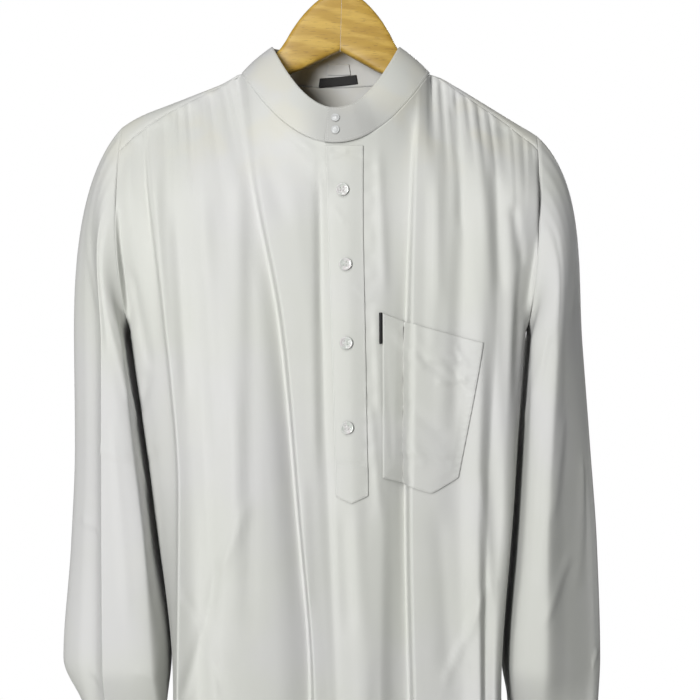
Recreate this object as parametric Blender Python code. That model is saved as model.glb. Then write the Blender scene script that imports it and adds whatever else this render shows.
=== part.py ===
"""A white thobe with a stand collar, half placket and chest pocket, on a wooden hanger.

The origin is the inside top of the hanger's hook, +Z is up and the garment's front faces -Y. Lengths
here are in millimetres until a mesh is made. A place on the cloth is given by x (to the viewer's
right), drop (how far below the origin) and out (how far in front of the hanger's plane, or behind it
for the back). Each cloth piece is a wall through a grid of points worked out from the short tables.
"""
import math

import bmesh
import bpy
import numpy as np

MM = 0.001

# Cloth
CLOTH = 1.2            # wall of body, yoke and sleeves
BAND = 2.0             # wall of the stiffened collar
CUFF_WALL = 1.8
PATCH = 1.0            # wall of what is sewn on a panel
SEAM = 0.45            # space between two pieces at a seam
LIFT = 0.5             # space between a panel and what lies on it
POCKET_LIFT = 0.7

# Body
HEM_DROP = 1584.0
SHOULDER_ROUND = 10.0  # radius of the cloth over the shoulder's ridge
UNDERARM_DROP = 435.0
ARMHOLE_FULL = 0.8     # how much fuller the armhole is below than above
BACK_SEAM_DROP = 290.0
NECK_COLUMNS = 13
YOKE_ROWS = 7
FRONT_ROWS = 21
BACK_ROWS = 16
TOP_FADE = 50.0        # how far down a panel's top edge still shapes it
NAPE_FULL = 6.0        # how much fuller the yoke's lower edge is behind the neck
NAPE_SPREAD = 80.0
SQUARE_ABOVE = 60.0    # a panel's edge starts to turn square this far above the underarm
SQUARE_OVER = 50.0

# Small gathers under the yoke's front seam, between two places each side
GATHER_SPANS = ((-216.0, -100.0), (100.0, 209.0))
GATHER_PITCH = 17.0
GATHER_DEPTH = 1.7
GATHER_FADE = 55.0
GATHER_START = 7.0
GATHER_EASE = 12.0
GATHER_WANDER = 61.0

# Height of the shoulder's ridge and how far below it the yoke's front seam lies
RIDGE = np.array([
    # x, ridge drop, seam below ridge
    (-237, 212, 29), (-226, 205, 23.5), (-212, 198, 19), (-190, 189.5, 11.5), (-153, 175, 5.5),
    (-127, 164.5, 3), (-108, 154, 1), (98, 155, 1), (127, 169, 4.5), (142, 178, 6), (178, 200, 9),
    (196, 211, 13), (208, 218, 15), (214, 222, 18)], float)

# Armholes: side, x at the shoulder, x at the underarm, bow, drop at the shoulder
ARMHOLE = {"left": (-1, -237.0, -229.0, -6.0, 212.0), "right": (1, 214.0, 203.0, 3.0, 222.0)}

# Side seams below the underarm: drop, left x, right x
SIDE_SEAM = np.array([(435, -229, 203), (520, -217, 196), (613, -205, 189), (823, -182, 174),
                      (1584, -262, 262)], float)

# Neck: the ring where the collar is sewn on and the collar's top ring
NECK_X = -5.0
BASE_RING = {"half": 103.0, "front": 68.0, "back": 46.0, "side": 154.0, "dip": 84.0, "nape": 8.0}
TOP_RING = {"half": 70.0, "front": 56.0, "back": 36.0, "side": 125.0, "dip": 74.0, "nape": -2.0}
COLLAR_UNDER_TURN = 374.0
COLLAR_TURNS = (-6.0, -5.2, -4.0, -2.0)   # close together at the lap's rounded corner
COLLAR_HEIGHTS = (0.0, 0.3, 0.65, 1.0)
COLLAR_TALL = 40.0
COLLAR_STEPS = 44
COLLAR_SWELL = 2.2
COLLAR_START = 0.012   # part of its height that the collar stands off its seam
LAP_OUT = 2.7
LAP_TURNS = (14.0, 26.0)
LAP_CORNER = 6.0

# Folds of the front, from the left seam to the right one. x_ and out_ are the place of each fold line
# at the top edge, the upper chest, the chest, the waist, the hip and the hem; cols is how many columns
# the wall has up to the next line.
# Columns: name, x_top, x_upper, x_chest, x_waist, x_hip, x_hem,
#          out_upper, out_chest, out_waist, out_hip, out_hem, cols
FRONT_STATIONS = (300.0, 430.0, 613.0, 823.0, HEM_DROP)
FRONT_FOLDS = (
    ("left seam", -237, -241, -229, -205, -182, -262, 0, 0, 0, 0, 0, 1),
    ("left side", -234, -236, -226, -202, -180, -260, 44, 28, 24, 26, 50, 2),
    ("left corner", -227, -222, -212, -192, -178, -250, 50, 40, 36, 42, 84, 2),
    ("pleat groove", -214, -205, -188, -173, -173.5, -226, 49, 54, 57, 62, 88, 1),
    ("pleat edge", -210, -200, -183, -168.5, -170, -218, 59, 64, 71, 77, 104, 4),
    ("left trough", -185, -178, -163, -149, -150, -176, 56, 60, 65, 68, 88, 5),
    ("left swell", -155, -140, -122, -112, -126, -128, 63, 71, 77, 80, 106, 3),
    ("long fold tuck", -132, -108, -84, -70, -62, -70, 62, 65, 68, 68, 98, 2),
    ("long fold foot", -120, -90, -65, -47.5, -32, -40, 58, 54, 49, 48, 80, 2),
    ("long fold crest", -103, -82, -58, -41.5, -26, -20, 68, 75, 80, 85, 112, 3),
    ("middle swell", -62, -50, -34, -24, -12, 6, 67, 73, 77, 81, 104, 3),
    ("placket groove", -25, -20, -18, -12, -3, 22, 62, 68, 73, 79, 98, 1),
    ("placket left", -15, -13.5, -9.5, -4, 3, 32, 66, 71.5, 76, 79.5, 98, 2),
    ("placket middle", 5, 6, 8.5, 12, 18, 52, 67, 73, 77, 80, 102, 2),
    ("placket right", 24, 24, 26, 29.5, 33, 70, 65, 70, 73, 76, 98, 2),
    ("valley lip", 41, 41, 42, 43.5, 42, 84, 64, 68, 70, 73, 92, 2),
    ("valley floor", 60, 58, 57, 56.5, 57, 98, 60, 61, 60, 58, 84, 2),
    ("valley foot", 78, 74, 70, 69, 73, 110, 58, 52, 48.5, 48, 80, 1),
    ("valley crest", 85, 78.5, 75, 74, 78, 120, 69, 77, 81, 84, 112, 2),
    ("chest plane", 101, 102, 101, 101, 103, 146, 66, 73, 76, 79, 102, 3),
    ("chest groove", 122, 127, 128, 125, 128, 168, 61, 68, 70, 73, 88, 4),
    ("pocket swell", 143, 148, 149, 144, 146, 192, 65, 72, 75, 78, 108, 4),
    ("right trough", 164, 168, 166, 157, 153, 214, 57, 62, 65, 67, 86, 3),
    ("right swell", 188, 187, 180, 171, 162, 234, 58, 61, 65, 72, 98, 2),
    ("right corner", 203, 200, 188, 182.5, 170, 250, 54, 50, 56, 58, 84, 2),
    ("right side", 209, 210, 198, 187, 172.5, 260, 50, 36, 32, 34, 50, 1),
    ("right seam", 214, 214, 203, 189, 174, 262, 0, 0, 0, 0, 0, 0),
)

BACK_STATIONS = (430.0, 613.0, 823.0, HEM_DROP)
BACK_FOLDS = (
    # name, x_top, x_chest, x_waist, x_hip, x_hem, out_chest, out_waist, out_hip, out_hem, cols
    ("left seam", -241, -229, -205, -182, -262, 0, 0, 0, 0, 1),
    ("left side", -236, -226, -202, -180, -260, 32, 34, 40, 52, 2),
    ("left corner", -222, -208, -186, -170, -246, 52, 60, 70, 90, 3),
    ("fold 1 foot", -186, -176, -160, -146, -206, 54, 60, 64, 84, 3),
    ("fold 1 crest", -150, -140, -130, -118, -164, 64, 74, 86, 116, 3),
    ("fold 2 foot", -108, -104, -96, -90, -118, 55, 61, 66, 88, 3),
    ("fold 2 crest", -66, -62, -58, -52, -66, 66, 76, 90, 124, 3),
    ("middle foot", -14, -12, -10, -8, -6, 57, 62, 68, 92, 3),
    ("fold 3 crest", 40, 36, 34, 32, 56, 66, 75, 88, 122, 3),
    ("fold 3 foot", 86, 80, 74, 70, 108, 55, 61, 66, 88, 3),
    ("fold 4 crest", 130, 120, 112, 104, 158, 64, 73, 85, 116, 3),
    ("fold 4 foot", 172, 158, 148, 138, 206, 54, 60, 64, 84, 3),
    ("right corner", 203, 188, 176, 162, 246, 50, 58, 68, 90, 2),
    ("right side", 211, 199, 186, 171, 260, 30, 32, 38, 52, 1),
    ("right seam", 214, 203, 189, 174, 262, 0, 0, 0, 0, 0),
)

# Sleeves: lines round each sleeve, and where they stand at five heights. turn 0 is the outer side, 90
# the front and 180 the inner side. y is towards the back.
SLEEVE_DROPS = (450.0, 560.0, 670.0, 792.0, 838.0)
LEFT_SLEEVE = (
    # name, turn, x1, x2, x3, x4, x5, y1, y2, y3, y4, y5
    ("outer edge", 0, -292, -291, -295, -303, -283, 6, 6, 4, 2, 2),
    ("outer front", 24, -278, -277, -280, -284, -276, -16, -16, -17, -20, -14),
    ("hollow", 46, -262, -261.5, -262, -263, -263, -30, -30, -30, -30, -24),
    ("ridge flank", 62, -254.5, -254, -253.5, -253, -253.5, -48, -50, -50, -50, -36),
    ("press ridge", 70, -252, -251.5, -251, -250.5, -250, -62, -64, -66, -62, -42),
    ("front plane", 96, -241, -235, -228, -224, -222, -61, -64, -66, -62, -42),
    ("inner front", 122, -231, -219, -206, -199, -196, -54, -59, -62, -58, -36),
    ("inner side", 160, -231.5, -215.5, -202, -187.5, -189, -16, -18, -20, -18, -12),
    ("inner fold", 200, -228.7, -213.7, -199.7, -185.7, -190, 22, 22, 18, 14, 10),
    ("back inner", 238, -250, -246, -240, -232, -216, 64, 62, 56, 46, 30),
    ("back plane", 276, -268, -266, -264, -262, -244, 72, 68, 60, 50, 34),
    ("outer back", 318, -287, -286, -288, -292, -272, 46, 44, 38, 30, 22),
)
RIGHT_SLEEVE = (
    # name, turn, x1, x2, x3, x4, x5, y1, y2, y3, y4, y5
    ("outer edge", 0, 265, 273, 281, 284.5, 282, 4, 2, 4, 4, 2),
    ("outer strip", 20, 261, 268, 275, 278, 276, -10, -9, -6, -8, -10),
    ("hollow", 40, 253, 260, 267, 269, 266, -28, -22, -14, -16, -16),
    ("dark plane", 62, 240, 240, 240, 242, 240, -52, -49, -46, -44, -34),
    ("front ridge", 84, 228, 222, 217, 216, 215, -68, -71, -73, -68, -46),
    ("bright plane", 106, 215, 210, 204, 198, 199, -64, -67, -68, -62, -40),
    ("inner front", 126, 203, 199.5, 193, 183, 187, -50, -55, -56, -50, -28),
    ("inner side", 160, 206, 197, 188.5, 179.5, 182, -14, -18, -20, -18, -8),
    ("inner fold", 200, 203.8, 194.8, 186.4, 176.8, 184, 24, 22, 18, 14, 12),
    ("back inner", 238, 224, 224, 220, 214, 204, 64, 62, 56, 46, 30),
    ("back plane", 276, 242, 246, 246, 244, 232, 72, 68, 60, 50, 34),
    ("outer back", 318, 260, 268, 272, 272, 264, 46, 44, 38, 30, 22),
)
CAP_ROWS = 6
SLEEVE_ROWS = 9
SLEEVE_BETWEEN = 2     # columns from one sleeve line to the next

# How a sleeve leaves its armhole, at the shoulder and how it changes to the underarm
CAP_AWAY = {"left": 0.58, "right": 0.68, "underarm": 0.45}
CAP_FALL = (-0.62, -0.2)
CAP_SPREAD = 0.25
CAP_PULL = 1.05

CUFF_HEIGHT = 52.0
CUFF_SHRINK = (0.985, 0.965, 0.95)

# Placket and pocket, in x and drop on the front
PLACKET_TOP = 241.0
PLACKET_SHOULDER = 608.5
PLACKET_TIP = 616.5
POCKET_TOP_LEFT = (44.5, 417.0)
POCKET_TOP_RIGHT = (150.0, 448.5)
POCKET_LOW_LEFT = (44.5, 590.0)
POCKET_LOW_RIGHT = (124.0, 590.0)
POCKET_TIP = (96.0, 606.0)
POCKET_TOP_BEND = 0.85
POCKET_SIDE_BEND = 1.15
POCKET_SPREAD = 7      # columns from the chest plane to the pocket's right edge
POCKET_ROWS = 11
PLACKET_ROWS = 18
TAB_TALL = 32.0
TAB_SHOWS = 3.0
TAB_SPACE = 0.6
TAB_THICK = 1.4
MITRE_LEAST = 0.35     # limits how far a piece is moved out in a sharp fold

# Labels on the collar's inner side
LABEL_LIFT = 0.6
LABELS = (
    # name, turn from, turn to, height from, height to, skew, thick
    ("neck_label", 166, 191, 0.04, 0.30, -0.05, 1.0),
    ("size_label", 170, 186, 0.36, 0.66, 0.0, 1.0),
)

# Buttons and press studs: places, and turned profiles of radius and height
BUTTON_PLACES = ((2.5, 287.0), (5.5, 365.5), (6.5, 448.5), (7.5, 537.0))
BUTTON_RADIUS = 6.8
BUTTON_PROFILE = ((0, 0), (6.0, 0), (6.8, 0.9), (6.8, 1.6), (6.1, 2.3), (4.8, 2.0), (0, 1.5))
BUTTON_LIFT = 0.4
BUTTON_SEGMENTS = 14
STUD_DROPS = (211.5, 224.5)
STUD_PROFILE = ((0, 0), (4.5, 0), (4.5, 0.5), (3.8, 0.9), (0, 1.1))
STUD_LIFT = 0.75
STUD_SEGMENTS = 12

# Hanger, before its small tilt: distance from the middle, top, bottom, half thickness
HANGER_TILT = math.radians(1.7)
TILT_CENTRE_DROP = 120.0
HANGER_SECTIONS = (
    (0.15, 65, 129.5, 8.0), (12, 66.8, 135.5, 8.0), (24, 74, 141.7, 8.0), (41, 91, 150.5, 7.8),
    (54, 110, 156, 7.4), (60, 121, 160, 7.0), (66, 130, 165, 6.6), (76, 140, 171, 6.2),
    (90, 152.5, 179, 6.0), (108, 165.5, 188, 6.0), (127, 174.5, 195.5, 6.0), (153, 185.5, 206, 6.0),
    (178, 199.5, 217.5, 6.0), (196, 210, 226.5, 6.0), (205, 216, 229, 5.4), (208, 219, 227, 4.2))
HANGER_ROUND = 2.6
HOOK_INSIDE = 20.0
HOOK_WIRE = 2.1
HOOK_SPACE = 0.4       # between the hook's foot and the wood
HOOK_STEM = ((0.0, 0.0), (0.0, 6.0), (0.6, 11.0), (4.0, 17.0), (9.5, 22.5))   # x and rise
HOOK_ARC = (-42.0, 205.0)
HOOK_STEPS = 22
SHARP_ANGLE = math.radians(40)


def smooth_through(knots, values, at):
    """A curve through values at the knots with no overshoot (cubic pieces, limited slopes)."""
    knots = np.asarray(knots, float)
    values = np.asarray(values, float)
    tail = (1,) * (values.ndim - 1)
    step = np.diff(knots).reshape((-1,) + tail)
    slope = np.diff(values, axis=0) / step
    before, after = slope[:-1], slope[1:]
    same = before * after > 0
    w_before = 2 * step[1:] + step[:-1]
    w_after = step[1:] + 2 * step[:-1]
    mix = w_before / np.where(same, before, 1.0) + w_after / np.where(same, after, 1.0)
    middle = np.where(same, (w_before + w_after) / np.where(same, mix, 1.0), 0.0)
    tangent = np.concatenate([slope[:1], middle, slope[-1:]])
    at = np.clip(np.asarray(at, float), knots[0], knots[-1])
    cell = np.clip(np.searchsorted(knots, at, side="right") - 1, 0, len(knots) - 2)
    width = step[cell]
    t = (at - knots[cell]).reshape((-1,) + tail) / width
    leave, arrive = tangent[cell] * width, tangent[cell + 1] * width
    return hermite(values[cell], values[cell + 1], leave, arrive, t)


def hermite(start, end, leave, arrive, t):
    """A cubic from start to end that leaves and arrives with the given tangents."""
    return ((1 + 2 * t) * (1 - t) ** 2 * start + t ** 2 * (3 - 2 * t) * end
            + t * (1 - t) ** 2 * leave - t ** 2 * (1 - t) * arrive)


def smooth_across(rows, u):
    """rows holds one curve value per fold line (first axis), u the place between lines, per point."""
    count = len(rows)
    slope = np.diff(rows, axis=0)
    before, after = slope[:-1], slope[1:]
    same = before * after > 0
    middle = np.where(same, 2 * before * after / np.where(same, before + after, 1.0), 0.0)
    tangent = np.concatenate([slope[:1], middle, slope[-1:]])
    cell = np.clip(np.floor(u).astype(int), 0, count - 2)
    t = u - cell
    pick = np.arange(rows.shape[1])
    leave, arrive = tangent[cell, pick], tangent[cell + 1, pick]
    return hermite(rows[cell, pick], rows[cell + 1, pick], leave, arrive, t)


def ridge_drop(x):
    """Drop of the shoulder's ridge at x."""
    return smooth_through(RIDGE[:, 0], RIDGE[:, 1], np.ravel(x)).reshape(np.shape(x))


def seam_below(x):
    """How far below the ridge the yoke's front seam lies at x."""
    return smooth_through(RIDGE[:, 0], RIDGE[:, 2], np.ravel(x)).reshape(np.shape(x))


def arch_out(tall, below):
    """How far out an arch of cloth stands below its top; it comes back to nothing at its foot."""
    part = np.clip(below / tall, 0, 1)
    return np.sqrt(2 * SHOULDER_ROUND * tall * part * (1 - part)) * (1 + ARMHOLE_FULL * part)


def shoulder_out(x, below):
    """How far out the cloth stands at x, at a depth below the shoulder's ridge."""
    half = BASE_RING["half"]
    tall_left, tall_right = (UNDERARM_DROP - ARMHOLE[side][4] for side in ("left", "right"))
    return arch_out(np.interp(x, (NECK_X - half, NECK_X + half), (tall_left, tall_right)), below)


def armhole(side, drop):
    """x and out of an armhole's edge at a drop, from the shoulder to the underarm."""
    _, x_top, x_low, bow, top = ARMHOLE[side]
    tall = UNDERARM_DROP - top
    part = np.clip((drop - top) / tall, 0, 1)
    x = x_top + (x_low - x_top) * part + bow * np.sin(math.pi * part)
    return x, arch_out(tall, drop - top)


def side_line(side, drop):
    """x and out of a panel's edge: the armhole above the underarm, the side seam below it."""
    column = 1 if side == "left" else 2
    arm_x, arm_out = armhole(side, drop)
    seam_x = smooth_through(SIDE_SEAM[:, 0], SIDE_SEAM[:, column], drop)
    above = drop < UNDERARM_DROP
    inward = SEAM / 2 if side == "left" else -SEAM / 2
    return np.where(above, arm_x, seam_x) + inward, np.where(above, arm_out, 0.0)


def ring_point(ring, turn):
    """A point of a neck ring; turn is in degrees, 0 at the front, 90 at the viewer's right."""
    angle = np.radians(turn)
    ahead = np.cos(angle)
    x = NECK_X + ring["half"] * np.sin(angle)
    y = np.where(ahead > 0, -ring["front"], -ring["back"]) * ahead
    drop = ring["side"] + np.where(ahead > 0, ring["dip"], ring["nape"]) * ahead ** 2
    return x, y, drop


def front_top(x):
    """Out and drop of the front's top edge: the yoke's seam, or the neck between its two ends."""
    inside = np.clip((x - NECK_X) / BASE_RING["half"], -1, 1)
    _, neck_y, neck_drop = ring_point(BASE_RING, np.degrees(np.arcsin(inside)))
    below = seam_below(x)
    at_neck = np.abs(inside) < 1
    normal = seam_normals(x)
    shoulder = shoulder_out(x, below) + SEAM * normal[:, 2]
    shoulder_drop = ridge_drop(x) + below - SEAM * normal[:, 1]
    out = np.where(at_neck, np.maximum(-neck_y, shoulder), shoulder)
    drop = np.where(at_neck, np.maximum(neck_drop + SEAM, shoulder_drop), shoulder_drop)
    return out, drop


def back_top(x):
    """Out and drop of the back's top edge, which is level, at the foot of the yoke."""
    return yoke_back_out(x), np.full_like(x, BACK_SEAM_DROP + SEAM)


def yoke_back_out(x):
    """How far behind the hanger the yoke's lower edge lies, a little fuller behind the neck."""
    away = shoulder_out(x, BACK_SEAM_DROP - ridge_drop(x))
    return away + NAPE_FULL * np.exp(-((x - NECK_X) / NAPE_SPREAD) ** 2)


def fold_rows(folds, stations, top, drop):
    """x and out of every fold line at each drop; the first and last lines are the seams."""
    count = len(stations)
    xs, outs = [], []
    for row in folds:
        x_top = float(row[1])
        out_top, drop_top = top(np.array([x_top]))
        knots = np.concatenate([drop_top, stations])
        x_values = np.array(row[1:2 + count], float)
        out_values = np.concatenate([out_top, np.array(row[2 + count:2 + 2 * count], float)])
        place = smooth_through(knots, np.stack([x_values, out_values], 1), drop)
        xs.append(place[:, 0])
        outs.append(place[:, 1])
    xs[0], outs[0] = side_line("left", drop)
    xs[-1], outs[-1] = side_line("right", drop)
    return np.array(xs), np.array(outs)


def top_x(folds, u):
    """x at the top edge for a place between fold lines."""
    rows = np.repeat(np.array([[float(row[1])] for row in folds]), len(u), 1)
    return smooth_across(rows, u)


def gathers(x, below):
    """Small gathers under the yoke's seam, which start at nothing, swell and fade downwards."""
    within = sum(np.clip((x - first) / GATHER_EASE, 0, 1) * np.clip((last - x) / GATHER_EASE, 0, 1)
                 for first, last in GATHER_SPANS)
    wave = np.sin(2 * math.pi * x / GATHER_PITCH + np.sin(2 * math.pi * x / GATHER_WANDER))
    rise = (1 - np.exp(-below / GATHER_START)) * np.exp(-below / GATHER_FADE)
    return GATHER_DEPTH * wave * rise * within


def panel(folds, stations, top, u, drop):
    """x and out of a body panel at places u between its fold lines and at the drops."""
    rows_x, rows_out = fold_rows(folds, stations, top, drop)
    x = smooth_across(rows_x, u)
    out = smooth_across(rows_out, u)
    edge_x = top_x(folds, u)
    edge_out, edge_drop = top(edge_x)
    start_x, start_out = fold_rows(folds, stations, top, edge_drop)
    fade = np.exp(-np.maximum(drop - edge_drop, 0) / TOP_FADE)
    inner = (u > 0.999) & (u < len(folds) - 1.999)
    x = x + np.where(inner, (edge_x - smooth_across(start_x, u)) * fade, 0)
    out = out + np.where(inner, (edge_out - smooth_across(start_out, u)) * fade, 0)
    return x, out


def front(u, drop):
    """x and out of the front at places u between its fold lines and at the drops."""
    x, out = panel(FRONT_FOLDS, FRONT_STATIONS, front_top, u, drop)
    edge_x = top_x(FRONT_FOLDS, u)
    _, edge_drop = front_top(edge_x)
    return x, out + gathers(edge_x, np.maximum(drop - edge_drop, 0))


def back(u, drop):
    """x and out of the back, as for the front."""
    return panel(BACK_FOLDS, BACK_STATIONS, back_top, u, drop)


def columns(folds):
    """Places u of a panel's columns: each fold line, and its cols steps to the next."""
    places = [line + step / row[-1] for line, row in enumerate(folds) for step in range(row[-1])]
    return np.array(places + [len(folds) - 1.0])


def surface_normals(points, closed):
    """Unit normals of a grid of points from its two directions; closed wraps the first."""
    if closed:
        along = np.roll(points, -1, 0) - np.roll(points, 1, 0)
    else:
        along = np.gradient(points, axis=0)
    down = np.gradient(points, axis=1)
    normal = np.cross(along, down)
    return normal / np.maximum(np.linalg.norm(normal, axis=2, keepdims=True), 1e-9)


def material(name, colour, roughness, metallic=0.0):
    """A plain Principled material."""
    made = bpy.data.materials.new(name)
    made.use_nodes = True
    shader = made.node_tree.nodes["Principled BSDF"]
    shader.inputs["Base Color"].default_value = (*colour, 1.0)
    shader.inputs["Roughness"].default_value = roughness
    shader.inputs["Metallic"].default_value = metallic
    return made


def add_object(name, mesh_data, finish):
    """Links a bmesh as a named object, in metres, with its faces outwards and its material."""
    bmesh.ops.recalc_face_normals(mesh_data, faces=mesh_data.faces)
    mesh = bpy.data.meshes.new(name)
    mesh_data.to_mesh(mesh)
    mesh_data.free()
    mesh.materials.append(finish)
    mesh.shade_smooth()
    mesh.set_sharp_from_angle(angle=SHARP_ANGLE)
    thing = bpy.data.objects.new(name, mesh)
    bpy.context.scene.collection.objects.link(thing)
    return thing


def wall(name, outer, inner, closed, finish):
    """A closed wall between two grids of points; closed joins the first and last columns."""
    across, down = outer.shape[:2]
    mesh_data = bmesh.new()
    face = mesh_data.faces.new
    over = [[mesh_data.verts.new(p * MM) for p in column] for column in outer]
    under = [[mesh_data.verts.new(p * MM) for p in column] for column in inner]
    spans = across if closed else across - 1
    for i in range(spans):
        j = (i + 1) % across
        for k in range(down - 1):
            face((over[i][k], over[j][k], over[j][k + 1], over[i][k + 1]))
            face((under[i][k + 1], under[j][k + 1], under[j][k], under[i][k]))
        face((under[i][0], under[j][0], over[j][0], over[i][0]))
        face((over[i][-1], over[j][-1], under[j][-1], under[i][-1]))
    if not closed:
        for k in range(down - 1):
            face((over[0][k], over[0][k + 1], under[0][k + 1], under[0][k]))
            face((under[-1][k], under[-1][k + 1], over[-1][k + 1], over[-1][k]))
    return add_object(name, mesh_data, finish)


def panel_drops(top, rows, power):
    """Drops down each column from its top edge to the hem, closer together near the top."""
    part = np.linspace(0, 1, rows + 1) ** power
    return top[:, None] + (HEM_DROP - top[:, None]) * part[None, :]


def flat_edge_normals(normal, side, drop):
    """Turns a panel's edge normals into the armhole's plane, or square to the side seam below it."""
    plane = normal.copy()
    plane[:, 0] = 0
    plane /= np.maximum(np.linalg.norm(plane, axis=1, keepdims=True), 1e-9)
    square = np.zeros_like(normal)
    square[:, 0] = side
    low = np.clip((drop - (UNDERARM_DROP - SQUARE_ABOVE)) / SQUARE_OVER, 0, 1)[:, None]
    mixed = plane * (1 - low) + square * low
    return mixed / np.linalg.norm(mixed, axis=1, keepdims=True)


def front_sheet():
    """Points and outward normals of the front panel's grid."""
    u = columns(FRONT_FOLDS)
    edge_x = top_x(FRONT_FOLDS, u)
    edge_out, edge_drop = front_top(edge_x)
    drops = panel_drops(edge_drop, FRONT_ROWS, 1.5)
    u_grid = np.repeat(u[:, None], drops.shape[1], 1)
    x, out = front(u_grid.ravel(), drops.ravel())
    x, out = x.reshape(drops.shape), out.reshape(drops.shape)
    out[0] = np.where(drops[0] < UNDERARM_DROP, out[0], SEAM / 2)
    out[-1] = np.where(drops[-1] < UNDERARM_DROP, out[-1], SEAM / 2)
    points = np.stack([x, -out, -drops], 2)
    normal = -surface_normals(points, False)
    normal *= np.sign(-normal[len(u) // 2, 5, 1])
    normal[0] = flat_edge_normals(normal[0], -1, drops[0])
    normal[-1] = flat_edge_normals(normal[-1], 1, drops[-1])
    shoulder = (edge_x < NECK_X - BASE_RING["half"]) | (edge_x > NECK_X + BASE_RING["half"])
    normal[shoulder, 0] = seam_normals(edge_x)[shoulder]
    return points, normal


def make_front(sheet, finish):
    """The front panel's wall, inwards from its outer points."""
    points, normal = sheet
    return wall("front", points, points - CLOTH * normal, False, finish)


def on_sheet(grid, column, row):
    """The value of a grid at a place between its columns and rows."""
    c = int(min(max(column, 0), grid.shape[0] - 1.001))
    r = int(min(max(row, 0), grid.shape[1] - 1.001))
    s, t = column - c, row - r
    return ((grid[c, r] * (1 - s) + grid[c + 1, r] * s) * (1 - t)
            + (grid[c, r + 1] * (1 - s) + grid[c + 1, r + 1] * s) * t)


def row_at(points, column, drop):
    """The row of a grid at which a column passes a drop."""
    c = int(min(max(column, 0), points.shape[0] - 1.001))
    line = points[c] * (1 - column + c) + points[c + 1] * (column - c)
    return float(np.interp(drop, -line[:, 2], np.arange(len(line))))


def column_at(points, x, row):
    """The column of a grid at which a row passes x."""
    r = int(min(max(row, 0), points.shape[1] - 1.001))
    line = points[:, r] * (1 - row + r) + points[:, r + 1] * (row - r)
    return float(np.interp(x, line[:, 0], np.arange(len(line))))


def place_on(points, x, drop):
    """Column and row of the grid's point at x and drop, by turns."""
    row = row_at(points, points.shape[0] / 2, drop)
    column = column_at(points, x, row)
    for _ in range(8):
        row = row_at(points, column, drop)
        column = column_at(points, x, row)
    return column, row


def line_column(name):
    """The column of the front's grid that runs along a named fold line."""
    names = [row[0] for row in FRONT_FOLDS]
    return sum(row[-1] for row in FRONT_FOLDS[:names.index(name)])


def mitred_ways(points):
    """The way out at each point that keeps one distance from the faces on both sides of its column."""
    along = np.diff(points, axis=0)
    down = np.gradient(points, axis=1)
    face = np.cross(down[:-1] + down[1:], along)
    face /= np.linalg.norm(face, axis=2, keepdims=True)
    face *= -np.sign(face[:, :, 1:2])
    before = np.concatenate([face[:1], face])
    after = np.concatenate([face, face[-1:]])
    alike = np.sum(before * after, axis=2, keepdims=True)
    return (before + after) / np.maximum(1 + alike, MITRE_LEAST)


def lay_on(name, sheet, places, lift, thick, finish):
    """A piece on the front: the panel's own points at the places, moved out, as a closed wall."""
    points = sheet[0]
    ways = mitred_ways(points)
    base = np.array([[on_sheet(points, c, r) for c, r in line] for line in places])
    away = np.array([[on_sheet(ways, c, r) for c, r in line] for line in places])
    return wall(name, base + (lift + thick) * away, base + lift * away, False, finish)


def seam_normals(x):
    """The way out of the cloth along the yoke's front seam."""
    forward = 2 * np.sqrt(seam_below(x) / (2 * SHOULDER_ROUND))
    normal = np.stack([np.zeros_like(x), -forward, np.ones_like(x)], 1)
    return normal / np.linalg.norm(normal, axis=1, keepdims=True)


def make_back(finish):
    """The back panel, from the yoke's lower edge to the hem."""
    u = columns(BACK_FOLDS)
    top = np.full(u.shape, BACK_SEAM_DROP + SEAM)
    drops = panel_drops(top, BACK_ROWS, 1.3)
    u_grid = np.repeat(u[:, None], drops.shape[1], 1)
    x, out = back(u_grid.ravel(), drops.ravel())
    x, out = x.reshape(drops.shape), out.reshape(drops.shape)
    out[0] = np.where(drops[0] < UNDERARM_DROP, out[0], SEAM / 2)
    out[-1] = np.where(drops[-1] < UNDERARM_DROP, out[-1], SEAM / 2)
    points = np.stack([x, out, -drops], 2)
    normal = surface_normals(points, False)
    normal *= np.sign(normal[len(u) // 2, 5, 1])
    normal[0] = flat_edge_normals(normal[0], -1, drops[0])
    normal[-1] = flat_edge_normals(normal[-1], 1, drops[-1])
    return wall("back", points, points - CLOTH * normal, False, finish)


def yoke_point(x, part):
    """A point of the yoke: part runs from its front seam or the neck (0) to its lower back edge (1)."""
    half = BASE_RING["half"]
    inside = np.clip((x - NECK_X) / half, -1, 1)
    at_neck = np.abs(inside) < 1
    turn = 180 - np.degrees(np.arcsin(inside))
    _, neck_y, neck_drop = ring_point(BASE_RING, turn)
    ridge = np.where(at_neck, BASE_RING["side"], ridge_drop(x))
    start_s = np.where(at_neck, 0.0, -np.sqrt(seam_below(x)))
    end_s = np.sqrt(BACK_SEAM_DROP - SEAM / 2 - ridge)
    s = start_s + (end_s - start_s) * part
    arc_y = np.sign(s) * shoulder_out(x, s ** 2)
    arc_drop = ridge + s ** 2
    start_y, end_y = np.sign(start_s) * shoulder_out(x, start_s ** 2), shoulder_out(x, end_s ** 2)
    line_y = start_y + (end_y - start_y) * part
    line_drop = ridge + start_s ** 2 + (end_s ** 2 - start_s ** 2) * part
    deep = np.where(at_neck, 1 - np.abs(inside) ** 6, 0.0)
    first_y = np.where(at_neck, neck_y, start_y)
    first_drop = np.where(at_neck, neck_drop + SEAM, ridge + start_s ** 2)
    last_y = yoke_back_out(x)
    y = first_y + (last_y - first_y) * part + (1 - deep) * (arc_y - line_y)
    last_drop = BACK_SEAM_DROP - SEAM / 2
    drop = first_drop + (last_drop - first_drop) * part + (1 - deep) * (arc_drop - line_drop)
    return y, drop


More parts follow.
